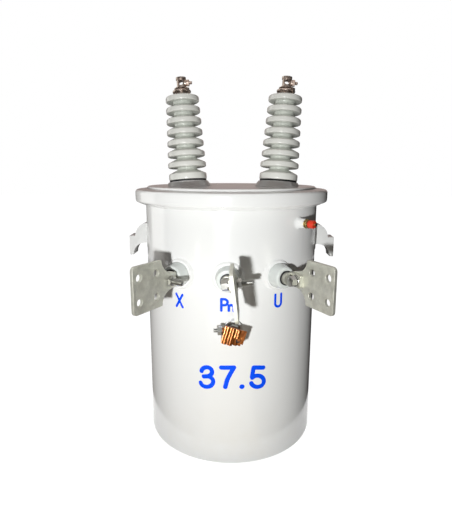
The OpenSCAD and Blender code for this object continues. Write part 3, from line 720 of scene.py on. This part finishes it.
def wall_place(azimuth, height, radius):
    """Axes on the tank's wall: X to the right, Y up, Z out."""
    out = Vector((math.sin(azimuth), -math.cos(azimuth), 0))
    place = Matrix((UP.cross(out), UP, out)).transposed().to_4x4()
    place.translation = out * radius + UP * height
    return place


# Operators

class MakesPieces:
    """What the transformer's operators share."""

    bl_options = {"REGISTER", "UNDO"}

    def sizes(self):
        return bpy.context.scene.transformer_sizes


class TRANSFORMER_OT_paint_nodes(MakesPieces, bpy.types.Operator):
    """Give every CAD node its finish"""

    bl_idname = "transformer.paint_nodes"
    bl_label = "Paint the nodes"

    def execute(self, context):
        for name, node in frame["nodes"].items():
            slot = node.material_slots[0].material.name.split(".")[0]
            look = "tinned_bronze" if name.startswith(("hv_cap", "hv_terminal")) else slot
            node.material_slots[0].material = finish(look)
        return {"FINISHED"}


class TRANSFORMER_OT_pads(MakesPieces, bpy.types.Operator):
    """Make the four-hole terminal pads and their tangs with worn edges"""

    bl_idname = "transformer.pads"
    bl_label = "Terminal pads"

    def execute(self, context):
        for side in SIDES:
            node = "lv_pad_" + side
            parts = [rounded_copy(node, 0.9 * MM)]
            make("terminal_pad_" + side, "tinned_metal", "tinned_metal", [node], parts)
        return {"FINISHED"}


class TRANSFORMER_OT_pad_fasteners(MakesPieces, bpy.types.Operator):
    """Make the threaded bolts, washers and nuts that hold the terminal pads"""

    bl_idname = "transformer.pad_fasteners"
    bl_label = "Pad fasteners"

    def execute(self, context):
        for side in SIDES:
            self.bolt(side)
            self.nut(side)
        return {"FINISHED"}

    def place(self, side):
        """Axes along a pad's bolt, with the pad's front face at zero and a flat facing outward."""
        terminal = lv_place(side)
        low, high = local_box("lv_nut_" + side, terminal)
        middle = (low + high) / 2
        origin = terminal @ Vector((low.x, middle.y, middle.z))
        columns = terminal.to_3x3().transposed()
        return axes(origin, columns[0], columns[2])

    def bolt(self, side):
        sizes = self.sizes()
        place = self.place(side)
        low, high = local_box("lv_bolt_" + side, place)
        head_end = low.z + sizes.pad_bolt_head
        parts = [
            hexagon(sizes.pad_bolt_flats, low.z, head_end),
            washer(sizes.washer_width, sizes.pad_bolt * 0.9, head_end, sizes.washer),
            rod(sizes.pad_bolt * 0.46, head_end - MM, 0, 32),
            thread(sizes.pad_bolt, sizes.pad_bolt_pitch, -2 * MM, high.z),
        ]
        make("pad_bolt_" + side, "zinc_steel", "zinc_steel", ["lv_bolt_" + side], parts, place)

    def nut(self, side):
        sizes = self.sizes()
        place = self.place(side)
        end = local_box("lv_nut_" + side, place)[1].z
        bore = sizes.pad_bolt * 0.97
        parts = [
            split_washer(sizes.lock_washer_width, bore, 0, sizes.washer),
            hexagon(sizes.pad_nut_flats, sizes.washer, end, bore),
        ]
        make("pad_nut_" + side, "zinc_steel", "zinc_steel", ["lv_nut_" + side], parts, place)


class TRANSFORMER_OT_hv_bushings(MakesPieces, bpy.types.Operator):
    """Turn the ribbed porcelain bushings with their gaskets and caps"""

    bl_idname = "transformer.hv_bushings"
    bl_label = "High-voltage bushings"

    sheds = 7
    first_shed = 29.5 * MM
    fillet = 2.2 * MM

    def execute(self, context):
        for side in HV_SIDES:
            place = hv_place(side)
            node = "hv_bushing_" + side
            low, high = local_box(node, place)
            parts = [lathe(self.body(low.z, high.z), 96)]
            body = make("bushing_" + side, "grey_porcelain", "grey_porcelain", [node], parts, place, 50)
            self.mark_hollows(body.data, place.inverted())
            node = "hv_gasket_" + side
            low, high = local_box(node, place)
            parts = [lathe(self.seal(low.z, high.z), 96, ring=True)]
            make("bushing_gasket_" + side, "black_rubber", "black_rubber", [node], parts, place, 50)
            node = "hv_cap_" + side
            low, high = local_box(node, place)
            parts = [lathe(self.cap(low.z, high.z, high.x), 72)]
            make("bushing_cap_" + side, "tinned_bronze", "tinned_metal", [node], parts, place, 40)
        return {"FINISHED"}

    def body(self, bottom, top):
        """Outline of a bushing: shank, base, sheds and the slope up to its neck."""
        sizes = self.sizes()
        pitch = sizes.shed_pitch
        neck = 18 * MM
        base = top - self.first_shed - (self.sheds - 1) * pitch - neck
        base_height = 12.2 * MM
        shank = 21 * MM
        edge = sizes.base_width / 2
        bend = 4.2 * MM
        outline = [(0, bottom), (shank, bottom), (shank, base)]
        outline += arc((edge - bend, base + bend), bend, -90, 0, 6)
        outline += self.shoulder(edge, base + base_height)
        for i in range(self.sheds):
            width = sizes.shed_low + (sizes.shed_high - sizes.shed_low) * i / (self.sheds - 1)
            outline += self.shed(width / 2, base + self.first_shed + i * pitch)
        # The topmost slope ends at the neck, so the 7 points of its fillet are left off
        outline = outline[:-7]
        return outline + [(20 * MM, top - 0.8 * MM), (19 * MM, top), (0, top)]

    def mark_hollows(self, data, inverse):
        """Stores how deep each point lies between the rims, from 0 on a rim to 1 on the core; the porcelain's
        painted shade follows it.
        """
        sizes = self.sizes()
        core = sizes.core_width / 2
        reach = sizes.shed_high / 2 - core
        hollow = data.attributes.new("hollow", "FLOAT", "POINT")
        for vertex, entry in zip(data.vertices, hollow.data):
            local = inverse @ vertex.co
            depth = 1 - (math.hypot(local.x, local.y) - core) / reach
            entry.value = min(max(depth, 0.0), 1.0)

    def shed(self, edge, under):
        """A shed's hollow below, flat underside, rim and slope."""
        core = self.sizes().core_width / 2
        bend = self.fillet
        lip = 2.8 * MM
        hollow = arc((core + bend, under - bend), bend, 180, 90, 5)
        rim = arc((edge - lip, under + lip), lip, -90, 0, 6)
        shoulder = self.shoulder(edge, under + self.sizes().shed_rim - 3.8 * MM)
        return hollow + rim + shoulder

    def shoulder(self, edge, height):
        """A rounded upper corner, then a slope that runs into the core."""
        sizes = self.sizes()
        core = sizes.core_width / 2
        slope = sizes.shed_slope
        round_off = 4.2 * MM
        corner = arc((edge - round_off, height), round_off, 0, 90 - math.degrees(slope), 6)
        run = corner[-1][0] - core - self.fillet * (1 - math.sin(slope))
        foot = corner[-1][1] + run * math.tan(slope)
        centre = (core + self.fillet, foot + self.fillet * math.cos(slope))
        return corner + arc(centre, self.fillet, 270 - math.degrees(slope), 180, 6)

    def seal(self, low, high):
        """A gasket that bulges out under the base's rounded edge."""
        edge = self.sizes().base_width / 2
        bore = 21.4 * MM
        bulge = (high + 2.8 * MM - low) / 2
        rim = arc((edge - 3.4 * MM, low + bulge), (2.6 * MM, bulge), -90, 90, 8)
        return [(bore, low)] + rim + [(edge - 6 * MM, high), (bore, high)]

    def cap(self, low, high, edge):
        """A cap with a short neck, a turned-down rim and a low crown."""
        neck = 13.5 * MM
        sheet = 1.8 * MM
        rim = low + 4.0 * MM
        crown = low + 8.4 * MM
        inside = edge - sheet
        lip = 0.7 * MM
        bend = 2.4 * MM
        outline = [(0, low), (neck, low), (neck, rim + sheet), (inside, rim + sheet), (inside, rim)]
        outline += arc((edge - lip, rim + lip), lip, -90, 0, 3)
        outline += arc((edge - bend, crown - bend), bend, 0, 80, 6)
        return outline + [(14 * MM, high - 1.6 * MM), (11 * MM, high), (0, high)]


class TRANSFORMER_OT_hv_terminals(MakesPieces, bpy.types.Operator):
    """Make the high-voltage eye terminals with their clamp screws and straps"""

    bl_idname = "transformer.hv_terminals"
    bl_label = "High-voltage terminals"

    def execute(self, context):
        for side in HV_SIDES:
            place = hv_place(side)
            node = "hv_terminal_" + side
            parts = [rounded_copy(node, 1.3 * MM)]
            make("eye_terminal_" + side, "tinned_bronze", "tinned_metal", [node], parts)
            self.clamp_screw(side, place)
            self.strap(side, place)
        return {"FINISHED"}

    def clamp_screw(self, side, place):
        sizes = self.sizes()
        columns = place.to_3x3().transposed()
        along = axes(place.translation, columns[0], columns[2])
        low, high = local_box("hv_clamp_screw_" + side, along)
        seat = 10 * MM
        dip = 2 * MM
        nut_start = seat + 2 * MM
        nut_end = nut_start + 6.5 * MM
        parts = [
            washer(14 * MM, sizes.clamp_screw, seat - dip, dip + 2 * MM),
            hexagon(sizes.clamp_nut_flats, nut_start, nut_end, sizes.clamp_screw * 0.97),
            thread(sizes.clamp_screw, sizes.clamp_screw_pitch, low.z, high.z),
        ]
        make("clamp_screw_" + side, "tinned_bronze", "zinc_steel", ["hv_clamp_screw_" + side], parts, along)

    def strap(self, side, place):
        """A keeper strap: a ring round the post, with a tail bent down over the cap's rim."""
        high = local_box("hv_cap_" + side, place)[1]
        top = high.z
        rim = high.y
        clear = 0.9 * MM
        sheet = 1.4 * MM
        tail = 8.5 * MM
        drop = 10 * MM
        bend = 3 * MM
        aside = place @ Matrix.Rotation(math.radians(-42), 4, "Z")
        rise = top + 0.2 * MM
        corner = arc((rim - bend + clear, rise - bend), bend, 90, 0, 5)
        path = [(12.5 * MM, rise)] + corner + [(rim + clear, rise - drop)]
        piece = Piece()
        piece.add(strap(path, tail, sheet), aside)
        piece.add(washer(33 * MM, 23.4 * MM, top, sheet), place)
        piece.close("keeper_strap_" + side, "tinned_bronze", "tinned_metal")


class TRANSFORMER_OT_ground_clamp(MakesPieces, bpy.types.Operator):
    """Make the copper ground clamp with its screw and the nut behind it"""

    bl_idname = "transformer.ground_clamp"
    bl_label = "Ground clamp"

    half_height = 15.8 * MM
    left_edge = -20.9 * MM
    seam = 0.3 * MM
    right_edge = 10.9 * MM
    recess_depth = 9 * MM

    def execute(self, context):
        place = ground_place()
        self.casting(place)
        self.back_nut(place)
        self.screw(place)
        return {"FINISHED"}

    def casting(self, place):
        """The casting: a ridged front on the left and upper right, and a recess on the lower right, whose
        hollow is painted shadow: a black plug.
        """
        half = self.half_height
        front = local_box("ground_connector", place)[1].z
        floor = front - self.recess_depth
        stub = [(0, 0), (3.2 * MM, 0)] + arc((2.6 * MM, 3.0 * MM), 0.6 * MM, 0, 90, 3) + [(0, 3.6 * MM)]
        piece = Piece()
        piece.add(rounded_copy("ground_connector", 0.7 * MM, 2))
        piece.add(self.ridges(front, (self.left_edge, self.seam), (-half, half)), place)
        piece.add(self.ridges(front, (self.seam, self.right_edge), (0, half)), place)
        piece.add(lathe(stub, 32), place @ Matrix.Translation((11.4 * MM, -5.1 * MM, floor)))
        piece.close("clamp_casting", "ground_copper", "ground_copper", ["ground_connector"])
        # Painted shadow: a black plug fills the recess round the copper disc, where the hollow lies in shade.
        shaded = place @ Matrix.Translation((10 * MM, -5.76 * MM, floor))
        plug = rod(4.9 * MM, 0, 2.8 * MM, 32)
        make("clamp_recess_painted_shadow", "black_rubber", "black_rubber", [], [plug], shaded)

    def ridges(self, front, across, along):
        """A cast front over the clamp's ridges: rolled waves that lean outward towards the foot."""
        pitch = 10.667 * MM
        first = -15.667 * MM
        swell = 1.25 * MM
        proud = 0.45 * MM
        root = front - 6 * MM
        lean = math.tan(math.radians(11.7))
        steps = 64
        part = bmesh.new()
        loops = []
        for y in along:
            loop = []
            for i in range(steps + 1):
                x = across[0] + (across[1] - across[0]) * i / steps
                wave = swell * math.cos(FULL_TURN * (x - first) / pitch)
                loop.append(part.verts.new((x, y, front + proud + wave + (self.half_height - y) * lean)))
            loop.append(part.verts.new((across[1], y, root)))
            loop.append(part.verts.new((across[0], y, root)))
            loops.append(loop)
        lower, upper = loops
        for i in range(len(lower)):
            part.faces.new((lower[i - 1], lower[i], upper[i], upper[i - 1]))
        part.faces.new(lower)
        part.faces.new(upper)
        return part

    def back_nut(self, place):
        sizes = self.sizes()
        low, high = local_box("ground_nut", place)
        lock = 3 * MM
        behind = place @ Matrix.Rotation(math.radians(30), 4, "Z")
        nut = Piece()
        nut.add(split_washer(high.x - low.x, sizes.pad_bolt, low.z, lock), place)
        nut.add(hexagon(sizes.ground_nut_flats, low.z + lock, high.z, sizes.pad_bolt), behind)
        nut.close("clamp_back_nut", "zinc_steel", "zinc_steel", ["ground_nut"])

    def screw(self, place):
        """The level screw that presses on the wire, with its nut."""
        sizes = self.sizes()
        out = place.to_3x3().transposed()[2]
        level = UP.cross(out)
        low, high = local_box("ground_bolt", axes(Vector(), level, UP))
        middle = (low + high) / 2
        along = axes(axes(Vector(), level, UP) @ Vector((middle.x, middle.y, 0)), level, UP)
        seat = low.z + sizes.ground_screw_out
        bore = sizes.ground_screw * 0.97
        parts = [
            hexagon(sizes.ground_screw_flats, seat - sizes.ground_screw_nut, seat, bore),
            thread(sizes.ground_screw, sizes.ground_screw_pitch, low.z, high.z),
        ]
        make("clamp_screw", "zinc_steel", "zinc_steel", ["ground_bolt"], parts, along)


class TRANSFORMER_OT_brackets(MakesPieces, bpy.types.Operator):
    """Make the lifting lugs and pole hangers with rounded edges"""

    bl_idname = "transformer.brackets"
    bl_label = "Lugs and hangers"

    def execute(self, context):
        for side in HV_SIDES:
            self.bracket("lifting_lug_" + side, "lug_" + side, 0.8 * MM)
        for level in ("lower", "upper"):
            self.bracket("hanger_" + level, "pole_hanger_" + level, 1.1 * MM)
        return {"FINISHED"}

    def bracket(self, node, name, radius):
        make(name, "tank_paint", "tank_paint", [node], [rounded_copy(node, radius)])


class TRANSFORMER_OT_welds(MakesPieces, bpy.types.Operator):
    """Lay the weld beads along the lugs, the hangers and the tank's rear seam"""

    bl_idname = "transformer.welds"
    bl_label = "Welds"

    def execute(self, context):
        beads = Piece()
        inset = 2 * MM
        lug_run = 58 * MM
        for side, sign in HV_SIDES.items():
            low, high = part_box("lifting_lug_" + side)
            for edge in (low.y, high.y):
                turn = math.asin(edge / TANK_RADIUS)
                azimuth = math.radians(90) * sign + turn * sign
                self.upright(beads, azimuth, high.z - lug_run, high.z - inset)
        for level in ("lower", "upper"):
            low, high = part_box("hanger_" + level)
            for edge in (low.x, high.x):
                azimuth = math.pi - math.asin(edge / TANK_RADIUS)
                self.upright(beads, azimuth, low.z + inset, high.z - inset)
        seam_azimuth = math.pi - math.radians(26)
        seam_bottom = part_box("tank_wall")[0].z + 14 * MM
        seam_top = 535 * MM
        self.upright(beads, seam_azimuth, seam_bottom, seam_top, 0.7)
        beads.close("weld_beads", "tank_paint", "tank_paint", smooth=60)
        return {"FINISHED"}

    def upright(self, beads, azimuth, bottom, top, scale=1.0):
        out = Vector((math.sin(azimuth), -math.cos(azimuth), 0))
        count = max(int((top - bottom) / (1.6 * MM)), 4)
        points = [out * TANK_RADIUS + UP * (bottom + (top - bottom) * i / count) for i in range(count + 1)]
        beads.add(weld_bead(points, [out] * len(points), self.sizes().weld * scale))


class TRANSFORMER_OT_relief_valve(MakesPieces, bpy.types.Operator):
    """Make the relief valve's hexagon body, its pin and the black seal at the pin's end"""

    bl_idname = "transformer.relief_valve"
    bl_label = "Relief valve"

    def execute(self, context):
        low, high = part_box("relief_cap")
        middle = (low + high) / 2
        azimuth = math.atan2(middle.x, -middle.y)
        place = wall_place(azimuth, middle.z, 0)
        start, end = (corner.z for corner in local_box("relief_body", place))
        cap_start = local_box("relief_cap", place)[0].z
        hex_end = start + 8 * MM
        groove = start + 3.2 * MM
        flats = 17 * MM
        stem = 4.4 * MM
        pin = 3 * MM
        tip = [(0, cap_start), (pin, cap_start), (pin, end - 1.2 * MM)]
        tip += arc((pin - MM, end - 2.0 * MM), MM, 0, 90, 4) + [(0, end - MM)]
        parts = [
            hexagon(flats, start, groove),
            rod(flats * 0.40, groove - MM, groove + 2 * MM),
            hexagon(flats * 0.96, groove + 0.8 * MM, hex_end),
            rod(stem, hex_end - MM, cap_start + MM),
            lathe(tip, 32),
        ]
        make("relief_valve_body", "valve_brass", "valve_brass", ["relief_body"], parts, place)
        seal = 1.6 * MM
        parts = [washer(5.4 * MM, 1.2 * MM, end - seal, seal)]
        make("relief_pin_seal", "black_rubber", "black_rubber", [], parts, place)
        return {"FINISHED"}


class TRANSFORMER_OT_band_closure(MakesPieces, bpy.types.Operator):
    """Make the cover band's rolled face, and the bolt and nut that draw it together at the back"""

    bl_idname = "transformer.band_closure"
    bl_label = "Band closure"

    def execute(self, context):
        sizes = self.sizes()
        low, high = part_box("band_bolt")
        middle = (low + high) / 2
        along = axes(Vector((0, middle.y, middle.z)), Vector((1, 0, 0)), UP)
        flats = sizes.band_bolt * 1.6
        nut = sizes.band_bolt * 0.8
        spare = 10 * MM
        parts = [
            hexagon(flats, low.x, low.x + nut),
            hexagon(flats, high.x - spare - nut, high.x - spare, sizes.band_bolt * 0.97),
            thread(sizes.band_bolt, sizes.band_bolt_pitch, low.x + nut - MM, high.x),
        ]
        make("band_closing_bolt", "zinc_steel", "zinc_steel", ["band_bolt"], parts, along)
        self.face()
        return {"FINISHED"}

    def face(self):
        """The band's rolled outer face, with its high rounded shoulder, split at the back."""
        low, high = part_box("cover_band")
        foot = low.z
        edge = high.x + 0.2 * MM
        bend = 6 * MM
        lap = 195 * MM
        outline = [(edge - 0.4 * MM, foot + 13 * MM), (edge, foot + 15 * MM)]
        outline += arc((edge - bend, foot + 28 * MM), bend, 0, 82, 8)
        outline += [(lap, foot + 36.5 * MM), (lap, foot + 31 * MM), (edge - bend, foot + 20 * MM)]
        split = 2 * math.asin(self.sizes().band_split / 2 / edge)
        part = fill_ends(turned(outline, True, FULL_TURN - split, 180))
        place = Matrix.Rotation(math.radians(90) + split / 2, 4, "Z")
        make("band_face", "tank_paint", "tank_paint", [], [part], place, 30)


class TRANSFORMER_OT_marks(MakesPieces, bpy.types.Operator):
    """Paint the plain blue rating number and terminal letters on the wall"""

    bl_idname = "transformer.marks"
    bl_label = "Painted marks"

    # Strokes are given in millimetres from the middle of their mark
    three = [
        arc((-53.2, 12.0), (11.6, 10.2), 170, -78, 16),
        [(-59.9, 1.6), (-51.0, 1.6)],
        arc((-53.2, -10.0), (13.8, 12.0), 98, -168, 20),
    ]
    seven = [
        [(-22.4, 21.5), (3.7, 21.5)],
        [(3.7, 21.5), (-3.7, 8.0), (-10.2, -6.0), (-14.0, -22.0)],
    ]
    five = [
        [(45.0, 21.5), (66.3, 21.5)],
        [(45.0, 21.5), (41.7, 0.4)],
        arc((53.9, -9.4), (14.4, 12.8), 142, -162, 20),
    ]
    point = [[(20.4, -21.3), (20.8, -21.3)]]
    cross = [[(-8.0, 13.2), (8.0, -13.2)], [(8.0, 13.2), (-8.0, -13.2)]]
    neutral = [
        [(-5.4, -11.8), (-5.4, 11.8)],
        [(-5.4, 11.8), (0.8, 11.8)] + arc((0.8, 5.6), 6.2, 80, -80, 10) + [(0.8, -0.6), (-5.4, -0.6)],
        [(9.6, -11.8), (9.6, -0.6)],
        arc((14.5, -4.6), (4.9, 4.6), 180, 0, 10) + [(19.4, -11.8)],
    ]
    cup = [[(-7.3, 12.9), (-7.3, -5.0)] + arc((0, -5.6), (7.3, 7.4), 180, 360, 14) + [(7.3, 12.9)]]

    def execute(self, context):
        sizes = self.sizes()
        marks = Piece()
        number = sizes.number_stroke
        letter = sizes.letter_stroke
        # Seen from above, the round wall lifts a mark's ends, so each stroke dips towards them
        dip = 0.00125
        for strokes, azimuth, height, width in (
            (self.three + self.seven + self.five, 2.6, 0.2001, number),
            (self.point, 2.6, 0.2001, 1.12 * number),
            (self.cross, -30.9, 0.3547, letter),
            (self.neutral, -2.3, 0.3555, letter),
            (self.cup, 31.1, 0.3579, letter),
        ):
            for stroke in strokes:
                level = [(x, y - dip * x * x) for x, y in stroke]
                self.paint(marks, level, math.radians(azimuth), height, width / 2)
        marks.close("painted_marks", "mark_blue", "tank_paint", smooth=60)
        return {"FINISHED"}

    def paint(self, marks, stroke, azimuth, height, half):
        """Sweeps one round-ended stroke, then wraps it on the wall."""
        film = self.sizes().paint_film
        path = self.even_steps([Vector((x, y, 0)) * MM for x, y in stroke], half)
        ends = self.end_steps(path, half)
        stations = [station(point, tangent, UP, width, film) for point, tangent, width in ends]
        part = sweep(stations, 12)
        for vertex in part.verts:
            turn = azimuth + vertex.co.x / TANK_RADIUS
            radius = TANK_RADIUS + vertex.co.z
            vertex.co = (radius * math.sin(turn), -radius * math.cos(turn), height + vertex.co.y)
        marks.add(part)

    def even_steps(self, corners, half):
        """Points along a stroke, close enough together to follow the wall."""
        step = 0.5 * half
        path = []
        for here, there in zip(corners, corners[1:]):
            count = max(int((there - here).length / step), 1)
            path += [here.lerp(there, i / count) for i in range(count)]
        return path + [corners[-1]]

    def end_steps(self, path, half):
        """Point, direction and half width along a stroke, with a half-round cap on each end."""
        places = []
        last = len(path) - 1
        for i, point in enumerate(path):
            tangent = (path[min(i + 1, last)] - path[max(i - 1, 0)]).normalized()
            places.append((point, tangent, half))
        return self.round_end(places[0], -1) + places + self.round_end(places[-1], 1)[::-1]

    def round_end(self, place, way):
        """Steps of a half-round cap, from its tip inward."""
        point, tangent, half = place
        steps = []
        for turn in (math.radians(degrees) for degrees in (85, 70, 52, 35, 18)):
            steps.append((point + tangent * way * half * math.sin(turn), tangent, half * math.cos(turn)))
        return steps


class TRANSFORMER_OT_stage(bpy.types.Operator):
    """Set the floor, the lights and the camera"""

    bl_idname = "transformer.stage"
    bl_label = "Stage"

    dark = (0.035, 0.033, 0.032)

    def execute(self, context):
        scene = context.scene
        stage = scene.transformer_stage
        scene.view_settings.view_transform = "Standard"
        self.world(scene, stage)
        floor = self.floor()
        screens = self.flags() + self.cards()
        self.lamps(stage)
        self.floor_sun(stage, floor, screens)
        self.camera(scene, stage)
        return {"FINISHED"}

    def flags(self):
        """Screens all round; the pale one shows in reflections alone and adds no light."""
        reach = 2.1
        foot = 0.02
        deck_line = 0.54
        top = 2.4
        pale = (1.6, 1.58, 1.52)
        walls = (
            ("dark_flag_right", foot, top, 38, 150, self.dark),
            ("dark_flag_back", foot, deck_line, 150, 212, self.dark),
            ("brown_flag_back", deck_line, top, 150, 212, (0.40, 0.325, 0.305)),
            ("grey_flag_left", foot, top, 212, 236, (0.36, 0.345, 0.33)),
            ("pale_flag_left", foot, top, 236, 268, pale),
            ("dim_flag_left", foot, top, 268, 300, (0.12, 0.117, 0.114)),
            ("dim_flag_front", foot, top, 300, 398, (0.09, 0.088, 0.086)),
        )
        made = []
        for name, low, high, start, end, tone in walls:
            made.append(self.screen(name, (reach, low), (reach, high), start, end, tone, tone != pale))
        ceiling = 2.3
        warm = (0.80, 0.70, 0.66)
        made.append(self.screen("brown_card_high", (0.05, ceiling), (0.95, ceiling), 0, 360, warm))
        return made

    def cards(self):
        """Cards just above the floor, which cast no shadow."""
        near = 0.26
        far = 2.1
        height = 0.004
        sheets = (
            ("cream_card_front", 0.9, -25, 25, (0.54, 0.46, 0.34)),
            ("dark_card_right", far, 25, 165, self.dark),
            ("dark_card_back", far, 165, 225, self.dark),
            ("grey_card_left", far, 225, 335, (0.20, 0.18, 0.17)),
        )
        made = []
        for name, outer, start, end, tone in sheets:
            card = self.screen(name, (near, height), (outer, height), start, end, tone)
            card.visible_shadow = False
            made.append(card)
        return made

    def seen_ways(self, bench):
        """One for the rays that show the background: camera, mirror and see-through rays."""
        camera = bench.node("ShaderNodeLightPath", output="Is Camera Ray")
        glossy = bench.node("ShaderNodeLightPath", output="Is Glossy Ray")
        through = bench.node("ShaderNodeLightPath", output="Is Transmission Ray")
        return camera.larger(glossy).larger(through)

    def world(self, scene, stage):
        world = bpy.data.worlds.new("white_surround")
        scene.world = world
        bench = Bench(world)
        all_round = {"Color": (0.98, 0.99, 1.0, 1), "Strength": stage.fill}
        even = bench.node("ShaderNodeBackground", None, all_round)
        white = bench.node("ShaderNodeBackground", None, {"Color": (1, 1, 1, 1), "Strength": 1.0})
        mixed = bench.node("ShaderNodeMixShader", None, {0: self.seen_ways(bench), 1: even, 2: white})
        bench.node("ShaderNodeOutputWorld", None, {"Surface": mixed})

    def floor(self):
        part = bmesh.new()
        bmesh.ops.create_grid(part, x_segments=4, y_segments=4, size=9.0)
        material = bpy.data.materials.new("stage_floor")
        bench = Bench(material)
        matte = bench.node("ShaderNodeBsdfDiffuse", None, {"Color": (0.87, 0.87, 0.87, 1)})
        white = bench.node("ShaderNodeEmission", None, {"Color": (1, 1, 1, 1), "Strength": 1.0})
        lit = bench.node("ShaderNodeMixShader", None, {0: 0.78, 1: matte, 2: white})
        unlit = bench.node("ShaderNodeBsdfDiffuse", None, {"Color": (0.06, 0.058, 0.056, 1)})
        mixed = bench.node("ShaderNodeMixShader", None, {0: self.seen_ways(bench), 1: unlit, 2: lit})
        bench.node("ShaderNodeOutputMaterial", None, {"Surface": mixed})
        return self.stand("floor", part, material)

    def floor_sun(self, stage, floor, screens):
        """A soft light from above that falls on the floor alone, so that it is white and keeps a shadow."""
        data = bpy.data.lights.new("floor_sun", "SUN")
        data.energy = stage.floor_light
        data.angle = math.radians(70)
        made = bpy.data.objects.new("floor_sun", data)
        made.location = (0, 0, 3)
        bpy.context.scene.collection.objects.link(made)
        receivers = bpy.data.collections.new("lit_by_floor_sun")
        receivers.objects.link(floor)
        made.light_linking.receiver_collection = receivers
        passed = bpy.data.collections.new("passed_by_floor_sun")
        for screen in screens:
            passed.objects.link(screen)
        for entry in passed.collection_objects:
            entry.light_linking.link_state = "EXCLUDE"
        made.light_linking.blocker_collection = passed

    def screen(self, name, inner, outer, start, end, tone, lights=True):
        """A curved screen between two points of radius and height; the camera doesn't see it."""
        part = bmesh.new()
        ends = [part.verts.new((0, -radius, height)) for radius, height in (inner, outer)]
        edge = part.edges.new(ends)
        bmesh.ops.spin(part, geom=ends + [edge], axis=UP, cent=(0, 0, 0), angle=math.radians(end - start),
                       steps=24, use_merge=end - start == 360)
        first = Matrix.Rotation(math.radians(start), 3, "Z")
        bmesh.ops.rotate(part, verts=part.verts, cent=(0, 0, 0), matrix=first)
        material = bpy.data.materials.new(name)
        bench = Bench(material)
        even = bench.node("ShaderNodeEmission", None, {"Color": (*tone, 1), "Strength": 1.0})
        bench.node("ShaderNodeOutputMaterial", None, {"Surface": even})
        made = self.stand(name, part, material)
        made.visible_camera = False
        made.visible_diffuse = lights
        return made

    def stand(self, name, part, material):
        data = bpy.data.meshes.new(name)
        part.to_mesh(data)
        part.free()
        data.materials.append(material)
        made = bpy.data.objects.new(name, data)
        bpy.context.scene.collection.objects.link(made)
        return made

    def lamp(self, name, power, size, place, target, mirrored=True):
        data = bpy.data.lights.new(name, "AREA")
        data.shape = "DISK"
        data.size = size
        data.energy = power
        made = bpy.data.objects.new(name, data)
        made.visible_camera = False
        made.visible_glossy = mirrored
        made.location = place
        made.rotation_euler = (Vector(target) - Vector(place)).to_track_quat("-Z", "Y").to_euler()
        bpy.context.scene.collection.objects.link(made)

    def lamps(self, stage):
        reach = stage.key_distance
        key = (reach * math.sin(stage.key_azimuth), -reach * math.cos(stage.key_azimuth), stage.key_height)
        self.lamp("key", stage.key_power, stage.key_size, key, (0, 0, 0.40))
        self.lamp("back_fill", 18, 1.2, (0.0, 1.75, 0.45), (0, 0, 0.38), False)

    def camera(self, scene, stage):
        data = bpy.data.cameras.new("camera")
        data.lens = stage.camera_lens
        data.sensor_width = 36.0
        made = bpy.data.objects.new("camera", data)
        scene.collection.objects.link(made)
        reach = stage.camera_distance
        azimuth = stage.camera_azimuth
        heading = azimuth + stage.camera_yaw
        pitch = stage.camera_pitch
        run = math.cos(pitch)
        ahead = Vector((-math.sin(heading) * run, math.cos(heading) * run, -math.sin(pitch)))
        right = Vector((math.cos(heading), math.sin(heading), 0))
        above = right.cross(ahead)
        level = Matrix((right, above, -ahead)).transposed().to_4x4()
        made.matrix_world = level @ Matrix.Rotation(stage.camera_roll, 4, "Z")
        made.location = (reach * math.sin(azimuth), -reach * math.cos(azimuth), stage.camera_height)
        scene.camera = made


class TRANSFORMER_PT_sidebar(bpy.types.Panel):
    """Lists the transformer's operators and settings"""

    bl_label = "Transformer"
    bl_idname = "TRANSFORMER_PT_sidebar"
    bl_space_type = "VIEW_3D"
    bl_region_type = "UI"
    bl_category = "Transformer"

    def draw(self, context):
        for operator in OPERATORS:
            self.layout.operator(operator.bl_idname)
        for group in GROUPS.values():
            settings = getattr(context.scene, group)
            box = self.layout.box()
            for name in settings.__annotations__:
                box.prop(settings, name)


GROUPS = {
    TransformerSizes: "transformer_sizes",
    TransformerColours: "transformer_colours",
    TransformerStage: "transformer_stage",
}
OPERATORS = (
    TRANSFORMER_OT_paint_nodes,
    TRANSFORMER_OT_pads,
    TRANSFORMER_OT_pad_fasteners,
    TRANSFORMER_OT_hv_bushings,
    TRANSFORMER_OT_hv_terminals,
    TRANSFORMER_OT_ground_clamp,
    TRANSFORMER_OT_brackets,
    TRANSFORMER_OT_welds,
    TRANSFORMER_OT_relief_valve,
    TRANSFORMER_OT_band_closure,
    TRANSFORMER_OT_marks,
    TRANSFORMER_OT_stage,
)


def register():
    for group, name in GROUPS.items():
        bpy.utils.register_class(group)
        setattr(bpy.types.Scene, name, PointerProperty(type=group))
    for operator in OPERATORS:
        bpy.utils.register_class(operator)
    bpy.utils.register_class(TRANSFORMER_PT_sidebar)


def unregister():
    bpy.utils.unregister_class(TRANSFORMER_PT_sidebar)
    for operator in reversed(OPERATORS):
        bpy.utils.unregister_class(operator)
    for group, name in GROUPS.items():
        delattr(bpy.types.Scene, name)
        bpy.utils.unregister_class(group)


def main():
    register()
    for operator in OPERATORS:
        family, name = operator.bl_idname.split(".")
        getattr(getattr(bpy.ops, family), name)()


if __name__ == "__main__":
    main()
